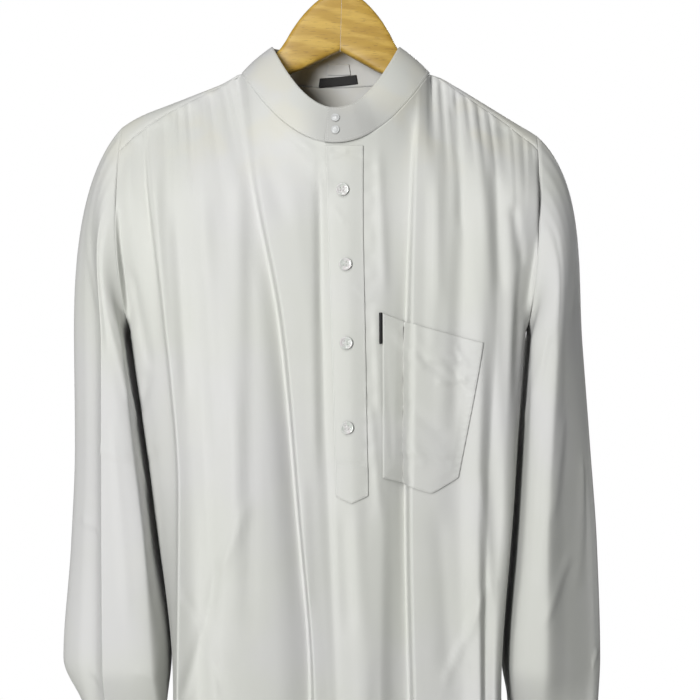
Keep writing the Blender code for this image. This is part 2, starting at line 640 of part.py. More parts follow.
def make_yoke(finish):
    """The yoke's columns meet the front's along its seams, and follow the neck between them."""
    left, right = NECK_X - BASE_RING["half"], NECK_X + BASE_RING["half"]
    seam_x = top_x(FRONT_FOLDS, columns(FRONT_FOLDS))
    neck_x = NECK_X + BASE_RING["half"] * np.sin(np.radians(np.linspace(-90, 90, NECK_COLUMNS)))
    x = np.concatenate([seam_x[seam_x < left - 2], neck_x, seam_x[seam_x > right + 2]])
    grid_x, grid_part = np.meshgrid(x, np.linspace(0, 1, YOKE_ROWS + 1), indexing="ij")
    _, drop = yoke_point(grid_x, grid_part)
    grid_x[0] = armhole("left", drop[0])[0] + SEAM / 2
    grid_x[-1] = armhole("right", drop[-1])[0] - SEAM / 2
    y, drop = yoke_point(grid_x, grid_part)
    points = np.stack([grid_x, y, -drop], 2)
    normal = surface_normals(points, False)
    normal *= np.sign(normal[3, 4, 2])
    for edge in (0, -1):
        normal[edge, :, 0] = 0
        normal[edge] /= np.linalg.norm(normal[edge], axis=1, keepdims=True)
    shoulder = np.abs(x - NECK_X) > BASE_RING["half"]
    normal[shoulder, 0] = seam_normals(x)[shoulder]
    return wall("yoke", points, points - CLOTH * normal, False, finish)


def sleeve_ring(table, turns, drop):
    """Points of a sleeve at the turns, level at each drop; the lines round it join smoothly."""
    count = len(SLEEVE_DROPS)
    lines = np.array([row[1:] for row in table], float)
    places = np.stack([lines[:, 1:1 + count], lines[:, 1 + count:]], 2)
    down = smooth_through(SLEEVE_DROPS, np.moveaxis(places, 1, 0), np.atleast_1d(drop))
    angle = np.concatenate([lines[-2:, 0] - 360, lines[:, 0], lines[:2, 0] + 360])
    around = np.concatenate([down[:, -2:], down, down[:, :2]], 1)
    ring = smooth_through(angle, np.moveaxis(around, 1, 0), turns)
    height = np.broadcast_to(-np.atleast_1d(drop)[None, :, None], ring.shape[:2] + (1,))
    return np.concatenate([ring, height], 2)


def sleeve_points(side, table, turns, cap_rows, rows):
    """A sleeve from its armhole to its cuff: a cap that turns down, then level rings."""
    way, _, _, _, top = ARMHOLE[side]
    part = (1 - np.cos(np.radians(turns))) / 2
    drop = top + (UNDERARM_DROP - top) * part
    x, out = armhole(side, drop)
    toward = np.where(turns < 180, -1.0, 1.0)
    start = np.stack([x + way * SEAM / 2, toward * out, -drop], 1)
    level = sleeve_ring(table, turns, np.array([SLEEVE_DROPS[0], SLEEVE_DROPS[0] + 20]))
    end = level[:, 0]
    fall = level[:, 1] - level[:, 0]
    fall /= np.linalg.norm(fall, axis=1, keepdims=True)
    reach = np.linalg.norm(end - start, axis=1, keepdims=True)
    away = CAP_AWAY[side] + (CAP_AWAY["underarm"] - CAP_AWAY[side]) * part
    leave = np.stack([way * away,
                      toward * CAP_SPREAD * np.sin(math.pi * part),
                      CAP_FALL[0] + CAP_FALL[1] * part], 1) * reach * CAP_PULL
    t = np.linspace(0, 1, cap_rows + 1)[None, :, None]
    cap = hermite(start[:, None], end[:, None], leave[:, None], (fall * reach)[:, None], t)
    below = np.linspace(0, 1, rows + 1)[1:]
    drops = SLEEVE_DROPS[0] + (SLEEVE_DROPS[-1] - SLEEVE_DROPS[0]) * below
    return np.concatenate([cap, sleeve_ring(table, turns, drops)], 1)


def sleeve_turns(table, between):
    """Turns of a sleeve's columns: its lines, with steps between them."""
    marks = np.array([row[1] for row in table] + [360.0])
    steps = [np.linspace(a, b, between + 1)[:-1] for a, b in zip(marks[:-1], marks[1:])]
    return np.concatenate(steps)


def make_sleeve(side, table, finish):
    """A sleeve's wall; its edge at the armhole lies in the armhole's plane."""
    turns = sleeve_turns(table, SLEEVE_BETWEEN)
    points = sleeve_points(side, table, turns, CAP_ROWS, SLEEVE_ROWS)
    normal = surface_normals(points, True)
    centre = points.mean(0, keepdims=True)
    way = np.sum(normal[:, -4] * (points - centre)[:, -4])
    normal *= np.sign(way)
    normal[:, 0, 0] = 0
    normal[:, 0] /= np.maximum(np.linalg.norm(normal[:, 0], axis=1, keepdims=True), 1e-9)
    return wall("sleeve_" + side, points, points - CLOTH * normal, True, finish)


def make_cuff(side, table, finish):
    """A plain closed cuff under a sleeve's end, a little narrower than it."""
    turns = sleeve_turns(table, SLEEVE_BETWEEN)
    top = sleeve_ring(table, turns, np.array([SLEEVE_DROPS[-1]]))[:, 0]
    centre = top.mean(0)
    heights = np.linspace(0, CUFF_HEIGHT, len(CUFF_SHRINK))
    points = np.stack([centre + (top - centre) * part for part in CUFF_SHRINK], 1)
    points[:, :, 2] = -(SLEEVE_DROPS[-1] + SEAM + heights)[None, :]
    normal = surface_normals(points, True)
    normal *= np.sign(np.sum(normal[:, 1] * (points - centre)[:, 1]))
    normal[:, :, 2] = 0
    normal /= np.linalg.norm(normal, axis=2, keepdims=True)
    return wall("cuff_" + side, points, points - CUFF_WALL * normal, True, finish)


def collar_point(turn, height):
    """A point of the collar: turn round the neck and height from its seam (0) to its top edge (1)."""
    base = np.stack(ring_point(BASE_RING, turn), -1)
    top = np.stack(ring_point(TOP_RING, turn), -1)
    point = base + (top - base) * height[..., None]
    point[..., 2] = -point[..., 2]
    angle = np.radians(turn)
    away = np.stack([np.sin(angle), -np.cos(angle), np.zeros_like(angle)], -1)
    swell = COLLAR_SWELL * 4 * height * (1 - height)
    lap = LAP_OUT * np.clip((LAP_TURNS[1] - turn) / (LAP_TURNS[1] - LAP_TURNS[0]), 0, 1)
    return point + away * (swell + lap)[..., None]


def make_collar(finish):
    """One band round the neck whose end laps over its start, with a rounded corner."""
    turn = np.concatenate([COLLAR_TURNS, np.linspace(2, COLLAR_UNDER_TURN, COLLAR_STEPS)])
    grid_turn, grid_height = np.meshgrid(turn, COLLAR_HEIGHTS, indexing="ij")
    along = np.minimum(np.radians(turn - turn[0]) * TOP_RING["half"], LAP_CORNER)
    short = LAP_CORNER - np.sqrt(LAP_CORNER ** 2 - (LAP_CORNER - along) ** 2)
    grid_height = grid_height * (1 - short[:, None] / COLLAR_TALL) + COLLAR_START * (1 - grid_height)
    points = collar_point(grid_turn, grid_height)
    normal = surface_normals(points, False)
    normal *= np.sign(-normal[2, 1, 1])
    return wall("collar", points, points - BAND * normal, False, finish)


def make_placket(sheet, finish):
    """The strip between two fold lines of the front, from the neck to its pointed end."""
    points = sheet[0]
    first, last = line_column("placket left"), line_column("placket right")
    places = []
    for column in np.linspace(first, last, 2 * (last - first) + 1):
        side = 1 - abs(2 * (column - first) / (last - first) - 1)
        end = PLACKET_SHOULDER + (PLACKET_TIP - PLACKET_SHOULDER) * side
        drops = np.append(np.linspace(PLACKET_TOP, PLACKET_SHOULDER - 12, PLACKET_ROWS + 1), end)
        places.append([(column, row_at(points, column, drop)) for drop in drops])
    return lay_on("placket", sheet, places, LIFT, PATCH, finish)


def pocket_edges(x):
    """Drops of the pocket's slanting top and pointed foot at x."""
    (x_left, top_left), (x_right, top_right) = POCKET_TOP_LEFT, POCKET_TOP_RIGHT
    part = min(max((x - x_left) / (x_right - x_left), 0), 1)
    top = top_left + (top_right - top_left) * part ** POCKET_TOP_BEND
    foot_x, foot_drop = zip(POCKET_LOW_LEFT, POCKET_TIP, POCKET_LOW_RIGHT)
    return top, np.interp(x, foot_x, foot_drop)


def pocket_right(drop):
    """x of the pocket's right edge, which runs in towards its foot."""
    (x_top, top), (x_low, low) = POCKET_TOP_RIGHT, POCKET_LOW_RIGHT
    along = min(max((drop - top) / (low - top), 0), 1)
    return x_top + (x_low - x_top) * along ** POCKET_SIDE_BEND


def make_pocket(sheet, finish):
    """The patch follows the front's own columns up to the chest plane, then spreads to its right edge."""
    points = sheet[0]
    first, last = line_column("valley floor"), line_column("chest plane")
    inner = list(range(first, last + 1))
    places = []
    for j in range(1 + len(inner) + POCKET_SPREAD):
        line = []
        for part in np.linspace(0, 1, POCKET_ROWS + 1):
            drop = (POCKET_TOP_LEFT[1] + POCKET_LOW_LEFT[1]) / 2
            for _ in range(8):
                if j == 0:
                    column, _ = place_on(points, POCKET_TOP_LEFT[0], drop)
                elif j <= len(inner):
                    column = inner[j - 1]
                else:
                    right_column, _ = place_on(points, pocket_right(drop), drop)
                    column = last + (right_column - last) * (j - len(inner)) / POCKET_SPREAD
                row = row_at(points, column, drop)
                top, foot = pocket_edges(on_sheet(points, column, row)[0])
                drop = top + (foot - top) * part
            line.append((column, row_at(points, column, drop)))
        places.append(line)
    return lay_on("pocket", sheet, places, POCKET_LIFT, PATCH, finish)


def make_tab(sheet, finish):
    """A plain folded tab that sticks out at the pocket's left edge."""
    points = sheet[0]
    right = POCKET_TOP_LEFT[0] - TAB_SPACE
    drops = np.linspace(POCKET_TOP_LEFT[1], POCKET_TOP_LEFT[1] + TAB_TALL, 6)
    places = [[place_on(points, x, drop) for drop in drops] for x in np.linspace(right - TAB_SHOWS, right, 3)]
    return lay_on("pocket_tab", sheet, places, POCKET_LIFT, TAB_THICK, finish)


def make_label(row, finish):
    """A label on the collar's inner side, made from the collar's points moved in."""
    name, turn_from, turn_to, height_from, height_to, skew, thick = row
    turn, height = np.meshgrid(np.linspace(turn_from, turn_to, 9), np.linspace(height_from, height_to, 3),
                               indexing="ij")
    points = collar_point(turn, height + skew * np.linspace(-1, 1, 9)[:, None])
    normal = surface_normals(points, False)
    normal *= np.sign(normal[4, 1, 1])
    near = points - (BAND + LABEL_LIFT) * normal
    return wall(name, near, near - thick * normal, False, finish)


def turned(name, centre, facing, profile, segments, finish):
    """A round piece turned from a profile of radius and height about the way that it faces."""
    mesh_data = bmesh.new()
    side = np.cross(facing, (0.0, 0.0, 1.0))
    side /= np.linalg.norm(side)
    up = np.cross(side, facing)
    rings = []
    for radius, height in profile:
        middle = centre + facing * height
        if radius == 0:
            rings.append([mesh_data.verts.new(middle * MM)])
            continue
        angles = np.linspace(0, 2 * math.pi, segments, endpoint=False)
        circle = [middle + radius * (math.cos(a) * side + math.sin(a) * up) for a in angles]
        rings.append([mesh_data.verts.new(point * MM) for point in circle])
    for one, two in zip(rings[:-1], rings[1:]):
        for i in range(segments):
            j = (i + 1) % segments
            corners = [one[i % len(one)], one[j % len(one)], two[j % len(two)], two[i % len(two)]]
            mesh_data.faces.new(list(dict.fromkeys(corners)))
    return add_object(name, mesh_data, finish)


def make_buttons(sheet, finish):
    """Buttons with a raised rim on the placket."""
    points = sheet[0]
    facing = np.array([0.0, -1.0, 0.0])
    for number, (x, drop) in enumerate(BUTTON_PLACES, 1):
        under = [on_sheet(points, *place_on(points, x + a * BUTTON_RADIUS, drop + b * BUTTON_RADIUS))[1]
                 for a in (-1, 0, 1) for b in (-1, 0, 1)]
        seat = np.array([x, min(under) - LIFT - PATCH - BUTTON_LIFT, -drop])
        turned(f"button_{number}", seat, facing, BUTTON_PROFILE, BUTTON_SEGMENTS, finish)


def make_studs(finish):
    """Two press-stud caps on the collar's lap."""
    base_drop, top_drop = ring_point(BASE_RING, 0.0)[2], ring_point(TOP_RING, 0.0)[2]
    for number, drop in enumerate(STUD_DROPS, 1):
        height = (base_drop - drop) / (base_drop - top_drop)
        around = collar_point(np.array([0.0, 4.0, 0.0]), np.array([height, height, height + 0.05]))
        facing = np.cross(around[1] - around[0], around[2] - around[0])
        facing *= -np.sign(facing[1]) / np.linalg.norm(facing)
        seat = around[0] + facing * STUD_LIFT
        turned(f"stud_{number}", seat, facing, STUD_PROFILE, STUD_SEGMENTS, finish)


def tilt(point):
    """Turns a point of the hanger about the middle of its wood by its small tilt."""
    x, y, z = point[0], point[1], point[2] + TILT_CENTRE_DROP
    c, s = math.cos(HANGER_TILT), math.sin(HANGER_TILT)
    return np.array([c * x + s * z, y, -s * x + c * z - TILT_CENTRE_DROP])


def make_hanger_arm(name, way, finish):
    """One wooden arm: rounded sections from the middle joint to the tip."""
    mesh_data = bmesh.new()
    rings = []
    for away, top, bottom, half in HANGER_SECTIONS:
        soft = min(HANGER_ROUND, half * 0.6, (bottom - top) * 0.3)
        corner = soft * 0.3
        right = [(half - soft, top), (half - corner, top + corner), (half, top + soft),
                 (half, bottom - soft), (half - corner, bottom - corner), (half - soft, bottom)]
        outline = right + [(-y, drop) for y, drop in reversed(right)]
        rings.append([mesh_data.verts.new(tilt((way * away, y, -drop)) * MM) for y, drop in outline])
    for one, two in zip(rings[:-1], rings[1:]):
        for i in range(len(one)):
            j = (i + 1) % len(one)
            mesh_data.faces.new((one[i], one[j], two[j], two[i]))
    mesh_data.faces.new(rings[0])
    mesh_data.faces.new(rings[-1])
    return add_object(name, mesh_data, finish)


def make_hook(finish):
    """A steel hook: a stem that swings out and goes round over the origin."""
    radius = HOOK_INSIDE + HOOK_WIRE
    foot = HOOK_SPACE - HANGER_SECTIONS[0][1]
    stem = [(x, foot + rise) for x, rise in HOOK_STEM]
    angles = np.radians(np.linspace(*HOOK_ARC, HOOK_STEPS))
    arc = [(radius * math.cos(a), -HOOK_INSIDE + radius * math.sin(a)) for a in angles]
    spline_points = [(x * MM, 0.0, z * MM) for x, z in stem + arc]
    curve = bpy.data.curves.new("hook", "CURVE")
    curve.dimensions = "3D"
    curve.bevel_depth = HOOK_WIRE * MM
    curve.bevel_resolution = 2
    curve.use_fill_caps = True
    spline = curve.splines.new("POLY")
    spline.points.add(len(spline_points) - 1)
    for point, place in zip(spline.points, spline_points):
        point.co = (*place, 1.0)
    curve.materials.append(finish)
    thing = bpy.data.objects.new("hook", curve)
    bpy.context.scene.collection.objects.link(thing)
    return thing


def build():
    """Clears the scene and makes every piece."""
    for thing in list(bpy.data.objects):
        bpy.data.objects.remove(thing)
    white = material("white cloth", (0.80, 0.81, 0.79), 0.6)
    black = material("black ribbon", (0.012, 0.012, 0.013), 0.6)
    pearl = material("pearl button", (0.78, 0.78, 0.75), 0.2)
    stud = material("white stud", (0.72, 0.73, 0.73), 0.35)
    wood = material("hanger wood", (0.60, 0.38, 0.13), 0.4)
    steel = material("hook steel", (0.62, 0.62, 0.62), 0.25, 1.0)
    sheet = front_sheet()
    make_front(sheet, white)
    make_back(white)
    make_yoke(white)
    for side, table in (("left", LEFT_SLEEVE), ("right", RIGHT_SLEEVE)):
        make_sleeve(side, table, white)
        make_cuff(side, table, white)
    make_collar(white)
    make_placket(sheet, white)
    make_pocket(sheet, white)
    make_tab(sheet, black)
    for row, finish in zip(LABELS, (black, white)):
        make_label(row, finish)
    make_buttons(sheet, pearl)
    make_studs(stud)
    make_hanger_arm("hanger_left", -1, wood)
    make_hanger_arm("hanger_right", 1, wood)
    make_hook(steel)


build()
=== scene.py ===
"""The look of a white thobe on a wooden hanger: cloth, stitching, buttons, hanger, light and camera.

Lengths are in millimetres until a mesh is made. A place on the cloth is given by x (to the viewer's
right), drop (how far below the hook's inside top) and out (how far in front of the hanger's plane, or
behind it for the back). The tables and the surfaces are those of the part's solids, on finer grids.
"""
import math

import bmesh
import bpy
import numpy as np
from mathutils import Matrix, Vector


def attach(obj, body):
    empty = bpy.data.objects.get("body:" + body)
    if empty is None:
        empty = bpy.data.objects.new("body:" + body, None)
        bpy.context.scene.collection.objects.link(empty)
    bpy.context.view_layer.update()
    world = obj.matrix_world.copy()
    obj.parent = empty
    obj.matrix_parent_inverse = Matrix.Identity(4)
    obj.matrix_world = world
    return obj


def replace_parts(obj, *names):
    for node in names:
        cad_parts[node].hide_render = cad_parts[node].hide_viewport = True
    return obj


MM = 0.001

# Cloth
CLOTH = 1.2            # wall of body, yoke and sleeves
BAND = 2.0             # wall of the stiffened collar
CUFF_WALL = 1.8
PATCH = 1.0            # wall of what is sewn on a panel
SEAM = 0.45            # space between two pieces at a seam
LIFT = 0.5             # space between a panel and what lies on it
POCKET_LIFT = 0.7

# Body
HEM_DROP = 1584.0
SHOULDER_ROUND = 10.0  # radius of the cloth over the shoulder's ridge
UNDERARM_DROP = 435.0
ARMHOLE_FULL = 0.8     # how much fuller the armhole is below than above
BACK_SEAM_DROP = 290.0
TOP_FADE = 50.0        # how far down a panel's top edge still shapes it
NAPE_FULL = 6.0        # how much fuller the yoke's lower edge is behind the neck
NAPE_SPREAD = 80.0

# Height of the shoulder's ridge and how far below it the yoke's front seam lies
RIDGE = np.array([
    # x, ridge drop, seam below ridge
    (-237, 212, 29), (-226, 205, 23.5), (-212, 198, 19), (-190, 189.5, 11.5), (-153, 175, 5.5),
    (-127, 164.5, 3), (-108, 154, 1), (98, 155, 1), (127, 169, 4.5), (142, 178, 6), (178, 200, 9),
    (196, 211, 13), (208, 218, 15), (214, 222, 18)], float)

# Armholes: side, x at the shoulder, x at the underarm, bow, drop at the shoulder
ARMHOLE = {"left": (-1, -237.0, -229.0, -6.0, 212.0), "right": (1, 214.0, 203.0, 3.0, 222.0)}

# Side seams below the underarm: drop, left x, right x
SIDE_SEAM = np.array([(435, -229, 203), (520, -217, 196), (613, -205, 189), (823, -182, 174),
                      (1584, -262, 262)], float)

# Neck: the ring where the collar is sewn on and the collar's top ring
NECK_X = -5.0
BASE_RING = {"half": 103.0, "front": 68.0, "back": 46.0, "side": 154.0, "dip": 84.0, "nape": 8.0}
TOP_RING = {"half": 70.0, "front": 56.0, "back": 36.0, "side": 125.0, "dip": 74.0, "nape": -2.0}
COLLAR_UNDER_TURN = 374.0
COLLAR_TALL = 40.0
COLLAR_SWELL = 2.2
COLLAR_START = 0.012   # part of its height that the collar stands off its seam
LAP_OUT = 2.7
LAP_TURNS = (14.0, 26.0)
LAP_CORNER = 6.0

# Folds of the front, from the left seam to the right one. x_ and out_ are the place of each fold line
# at the top edge, the upper chest, the chest, the waist, the hip and the hem; cols is how many columns
# the wall has up to the next line.
# Columns: name, x_top, x_upper, x_chest, x_waist, x_hip, x_hem,
#          out_upper, out_chest, out_waist, out_hip, out_hem, cols
FRONT_STATIONS = (300.0, 430.0, 613.0, 823.0, HEM_DROP)
FRONT_FOLDS = (
    ("left seam", -237, -241, -229, -205, -182, -262, 0, 0, 0, 0, 0, 1),
    ("left side", -234, -236, -226, -202, -180, -260, 44, 28, 24, 26, 50, 2),
    ("left corner", -227, -222, -212, -192, -178, -250, 50, 40, 36, 42, 84, 2),
    ("pleat groove", -214, -205, -188, -173, -173.5, -226, 49, 54, 57, 62, 88, 1),
    ("pleat edge", -210, -200, -183, -168.5, -170, -218, 59, 64, 71, 77, 104, 4),
    ("left trough", -185, -178, -163, -149, -150, -176, 56, 60, 65, 68, 88, 5),
    ("left swell", -155, -140, -122, -112, -126, -128, 63, 71, 77, 80, 106, 3),
    ("long fold tuck", -132, -108, -84, -70, -62, -70, 62, 65, 68, 68, 98, 2),
    ("long fold foot", -120, -90, -65, -47.5, -32, -40, 58, 54, 49, 48, 80, 2),
    ("long fold crest", -103, -82, -58, -41.5, -26, -20, 68, 75, 80, 85, 112, 3),
    ("middle swell", -62, -50, -34, -24, -12, 6, 67, 73, 77, 81, 104, 3),
    ("placket groove", -25, -20, -18, -12, -3, 22, 62, 68, 73, 79, 98, 1),
    ("placket left", -15, -13.5, -9.5, -4, 3, 32, 66, 71.5, 76, 79.5, 98, 2),
    ("placket middle", 5, 6, 8.5, 12, 18, 52, 67, 73, 77, 80, 102, 2),
    ("placket right", 24, 24, 26, 29.5, 33, 70, 65, 70, 73, 76, 98, 2),
    ("valley lip", 41, 41, 42, 43.5, 42, 84, 64, 68, 70, 73, 92, 2),
    ("valley floor", 60, 58, 57, 56.5, 57, 98, 60, 61, 60, 58, 84, 2),
    ("valley foot", 78, 74, 70, 69, 73, 110, 58, 52, 48.5, 48, 80, 1),
    ("valley crest", 85, 78.5, 75, 74, 78, 120, 69, 77, 81, 84, 112, 2),
    ("chest plane", 101, 102, 101, 101, 103, 146, 66, 73, 76, 79, 102, 3),
    ("chest groove", 122, 127, 128, 125, 128, 168, 61, 68, 70, 73, 88, 4),
    ("pocket swell", 143, 148, 149, 144, 146, 192, 65, 72, 75, 78, 108, 4),
    ("right trough", 164, 168, 166, 157, 153, 214, 57, 62, 65, 67, 86, 3),
    ("right swell", 188, 187, 180, 171, 162, 234, 58, 61, 65, 72, 98, 2),
    ("right corner", 203, 200, 188, 182.5, 170, 250, 54, 50, 56, 58, 84, 2),
    ("right side", 209, 210, 198, 187, 172.5, 260, 50, 36, 32, 34, 50, 1),
    ("right seam", 214, 214, 203, 189, 174, 262, 0, 0, 0, 0, 0, 0),
)

BACK_STATIONS = (430.0, 613.0, 823.0, HEM_DROP)
BACK_FOLDS = (
    # name, x_top, x_chest, x_waist, x_hip, x_hem, out_chest, out_waist, out_hip, out_hem, cols
    ("left seam", -241, -229, -205, -182, -262, 0, 0, 0, 0, 1),
    ("left side", -236, -226, -202, -180, -260, 32, 34, 40, 52, 2),
    ("left corner", -222, -208, -186, -170, -246, 52, 60, 70, 90, 3),
    ("fold 1 foot", -186, -176, -160, -146, -206, 54, 60, 64, 84, 3),
    ("fold 1 crest", -150, -140, -130, -118, -164, 64, 74, 86, 116, 3),
    ("fold 2 foot", -108, -104, -96, -90, -118, 55, 61, 66, 88, 3),
    ("fold 2 crest", -66, -62, -58, -52, -66, 66, 76, 90, 124, 3),
    ("middle foot", -14, -12, -10, -8, -6, 57, 62, 68, 92, 3),
    ("fold 3 crest", 40, 36, 34, 32, 56, 66, 75, 88, 122, 3),
    ("fold 3 foot", 86, 80, 74, 70, 108, 55, 61, 66, 88, 3),
    ("fold 4 crest", 130, 120, 112, 104, 158, 64, 73, 85, 116, 3),
    ("fold 4 foot", 172, 158, 148, 138, 206, 54, 60, 64, 84, 3),
    ("right corner", 203, 188, 176, 162, 246, 50, 58, 68, 90, 2),
    ("right side", 211, 199, 186, 171, 260, 30, 32, 38, 52, 1),
    ("right seam", 214, 203, 189, 174, 262, 0, 0, 0, 0, 0),
)

# Sleeves: lines round each sleeve, and where they stand at five heights. turn 0 is the outer side, 90
# the front and 180 the inner side. y is towards the back.
SLEEVE_DROPS = (450.0, 560.0, 670.0, 792.0, 838.0)
LEFT_SLEEVE = (
    # name, turn, x1, x2, x3, x4, x5, y1, y2, y3, y4, y5
    ("outer edge", 0, -292, -291, -295, -303, -283, 6, 6, 4, 2, 2),
    ("outer front", 24, -278, -277, -280, -284, -276, -16, -16, -17, -20, -14),
    ("hollow", 46, -262, -261.5, -262, -263, -263, -30, -30, -30, -30, -24),
    ("ridge flank", 62, -254.5, -254, -253.5, -253, -253.5, -48, -50, -50, -50, -36),
    ("press ridge", 70, -252, -251.5, -251, -250.5, -250, -62, -64, -66, -62, -42),
    ("front plane", 96, -241, -235, -228, -224, -222, -61, -64, -66, -62, -42),
    ("inner front", 122, -231, -219, -206, -199, -196, -54, -59, -62, -58, -36),
    ("inner side", 160, -231.5, -215.5, -202, -187.5, -189, -16, -18, -20, -18, -12),
    ("inner fold", 200, -228.7, -213.7, -199.7, -185.7, -190, 22, 22, 18, 14, 10),
    ("back inner", 238, -250, -246, -240, -232, -216, 64, 62, 56, 46, 30),
    ("back plane", 276, -268, -266, -264, -262, -244, 72, 68, 60, 50, 34),
    ("outer back", 318, -287, -286, -288, -292, -272, 46, 44, 38, 30, 22),
)
RIGHT_SLEEVE = (
    # name, turn, x1, x2, x3, x4, x5, y1, y2, y3, y4, y5
    ("outer edge", 0, 265, 273, 281, 284.5, 282, 4, 2, 4, 4, 2),
    ("outer strip", 20, 261, 268, 275, 278, 276, -10, -9, -6, -8, -10),
    ("hollow", 40, 253, 260, 267, 269, 266, -28, -22, -14, -16, -16),
    ("dark plane", 62, 240, 240, 240, 242, 240, -52, -49, -46, -44, -34),
    ("front ridge", 84, 228, 222, 217, 216, 215, -68, -71, -73, -68, -46),
    ("bright plane", 106, 215, 210, 204, 198, 199, -64, -67, -68, -62, -40),
    ("inner front", 126, 203, 199.5, 193, 183, 187, -50, -55, -56, -50, -28),
    ("inner side", 160, 206, 197, 188.5, 179.5, 182, -14, -18, -20, -18, -8),
    ("inner fold", 200, 203.8, 194.8, 186.4, 176.8, 184, 24, 22, 18, 14, 12),
    ("back inner", 238, 224, 224, 220, 214, 204, 64, 62, 56, 46, 30),
    ("back plane", 276, 242, 246, 246, 244, 232, 72, 68, 60, 50, 34),
    ("outer back", 318, 260, 268, 272, 272, 264, 46, 44, 38, 30, 22),
)

# How a sleeve leaves its armhole, at the shoulder and how it changes to the underarm
CAP_AWAY = {"left": 0.58, "right": 0.68, "underarm": 0.45}
CAP_FALL = (-0.62, -0.2)
CAP_SPREAD = 0.25
CAP_PULL = 1.05

CUFF_HEIGHT = 52.0
CUFF_SHRINK = (0.985, 0.965, 0.95)

# Placket and pocket, in x and drop on the front
PLACKET_TOP = 241.0
PLACKET_SHOULDER = 608.5
PLACKET_TIP = 616.5
POCKET_TOP_LEFT = (44.5, 417.0)
POCKET_TOP_RIGHT = (150.0, 448.5)
POCKET_LOW_LEFT = (44.5, 590.0)
POCKET_LOW_RIGHT = (124.0, 590.0)
POCKET_TIP = (96.0, 606.0)
POCKET_TOP_BEND = 0.85
POCKET_SIDE_BEND = 1.15
TAB_TALL = 32.0
TAB_SHOWS = 3.0
TAB_SPACE = 0.6
TAB_THICK = 1.4

# Labels on the collar's inner side
LABEL_LIFT = 0.6
LABELS = (
    # name, turn from, turn to, height from, height to, skew, thick
    ("neck_label", 166, 191, 0.04, 0.30, -0.05, 1.0),
    ("size_label", 170, 186, 0.36, 0.66, 0.0, 1.0),
)

# Buttons and press studs: places and sizes
BUTTON_PLACES = ((2.5, 287.0), (5.5, 365.5), (6.5, 448.5), (7.5, 537.0))
BUTTON_RADIUS = 6.8
STUD_DROPS = (211.5, 224.5)
STUD_LIFT = 0.75

# Hanger, before its small tilt: distance from the middle, top, bottom, half thickness
HANGER_TILT = math.radians(1.7)
TILT_CENTRE_DROP = 120.0
HANGER_SECTIONS = (
    (0.15, 65, 129.5, 8.0), (12, 66.8, 135.5, 8.0), (24, 74, 141.7, 8.0), (41, 91, 150.5, 7.8),
    (54, 110, 156, 7.4), (60, 121, 160, 7.0), (66, 130, 165, 6.6), (76, 140, 171, 6.2),
    (90, 152.5, 179, 6.0), (108, 165.5, 188, 6.0), (127, 174.5, 195.5, 6.0), (153, 185.5, 206, 6.0),
    (178, 199.5, 217.5, 6.0), (196, 210, 226.5, 6.0), (205, 216, 229, 5.4), (208, 219, 227, 4.2))
HOOK_INSIDE = 20.0
HOOK_WIRE = 2.1
HOOK_SPACE = 0.4       # between the hook's foot and the wood
HOOK_STEM = ((0.0, 0.0), (0.0, 6.0), (0.6, 11.0), (4.0, 17.0), (9.5, 22.5))   # x and rise
HOOK_ARC = (-42.0, 205.0)
HOOK_STEPS = 22


def smooth_through(knots, values, at):
    """A curve through values at the knots with no overshoot (cubic pieces, limited slopes)."""
    knots = np.asarray(knots, float)
    values = np.asarray(values, float)
    tail = (1,) * (values.ndim - 1)
    step = np.diff(knots).reshape((-1,) + tail)
    slope = np.diff(values, axis=0) / step
    before, after = slope[:-1], slope[1:]
    same = before * after > 0
    w_before = 2 * step[1:] + step[:-1]
    w_after = step[1:] + 2 * step[:-1]
    mix = w_before / np.where(same, before, 1.0) + w_after / np.where(same, after, 1.0)
    middle = np.where(same, (w_before + w_after) / np.where(same, mix, 1.0), 0.0)
    tangent = np.concatenate([slope[:1], middle, slope[-1:]])
    at = np.clip(np.asarray(at, float), knots[0], knots[-1])
    cell = np.clip(np.searchsorted(knots, at, side="right") - 1, 0, len(knots) - 2)
    width = step[cell]
    t = (at - knots[cell]).reshape((-1,) + tail) / width
    leave, arrive = tangent[cell] * width, tangent[cell + 1] * width
    return hermite(values[cell], values[cell + 1], leave, arrive, t)


def hermite(start, end, leave, arrive, t):
    """A cubic from start to end that leaves and arrives with the given tangents."""
    return ((1 + 2 * t) * (1 - t) ** 2 * start + t ** 2 * (3 - 2 * t) * end
            + t * (1 - t) ** 2 * leave - t ** 2 * (1 - t) * arrive)


def smooth_across(rows, u):
    """rows holds one curve value per fold line (first axis), u the place between lines, per point."""
    count = len(rows)
    slope = np.diff(rows, axis=0)
    before, after = slope[:-1], slope[1:]
    same = before * after > 0
    middle = np.where(same, 2 * before * after / np.where(same, before + after, 1.0), 0.0)
    tangent = np.concatenate([slope[:1], middle, slope[-1:]])
    cell = np.clip(np.floor(u).astype(int), 0, count - 2)
    t = u - cell
    pick = np.arange(rows.shape[1])
    leave, arrive = tangent[cell, pick], tangent[cell + 1, pick]
    return hermite(rows[cell, pick], rows[cell + 1, pick], leave, arrive, t)


def ridge_drop(x):
    """Drop of the shoulder's ridge at x."""
    return smooth_through(RIDGE[:, 0], RIDGE[:, 1], np.ravel(x)).reshape(np.shape(x))


def seam_below(x):
    """How far below the ridge the yoke's front seam lies at x."""
    return smooth_through(RIDGE[:, 0], RIDGE[:, 2], np.ravel(x)).reshape(np.shape(x))


def arch_out(tall, below):
    """How far out an arch of cloth stands below its top; it comes back to nothing at its foot."""
    part = np.clip(below / tall, 0, 1)
    return np.sqrt(2 * SHOULDER_ROUND * tall * part * (1 - part)) * (1 + ARMHOLE_FULL * part)


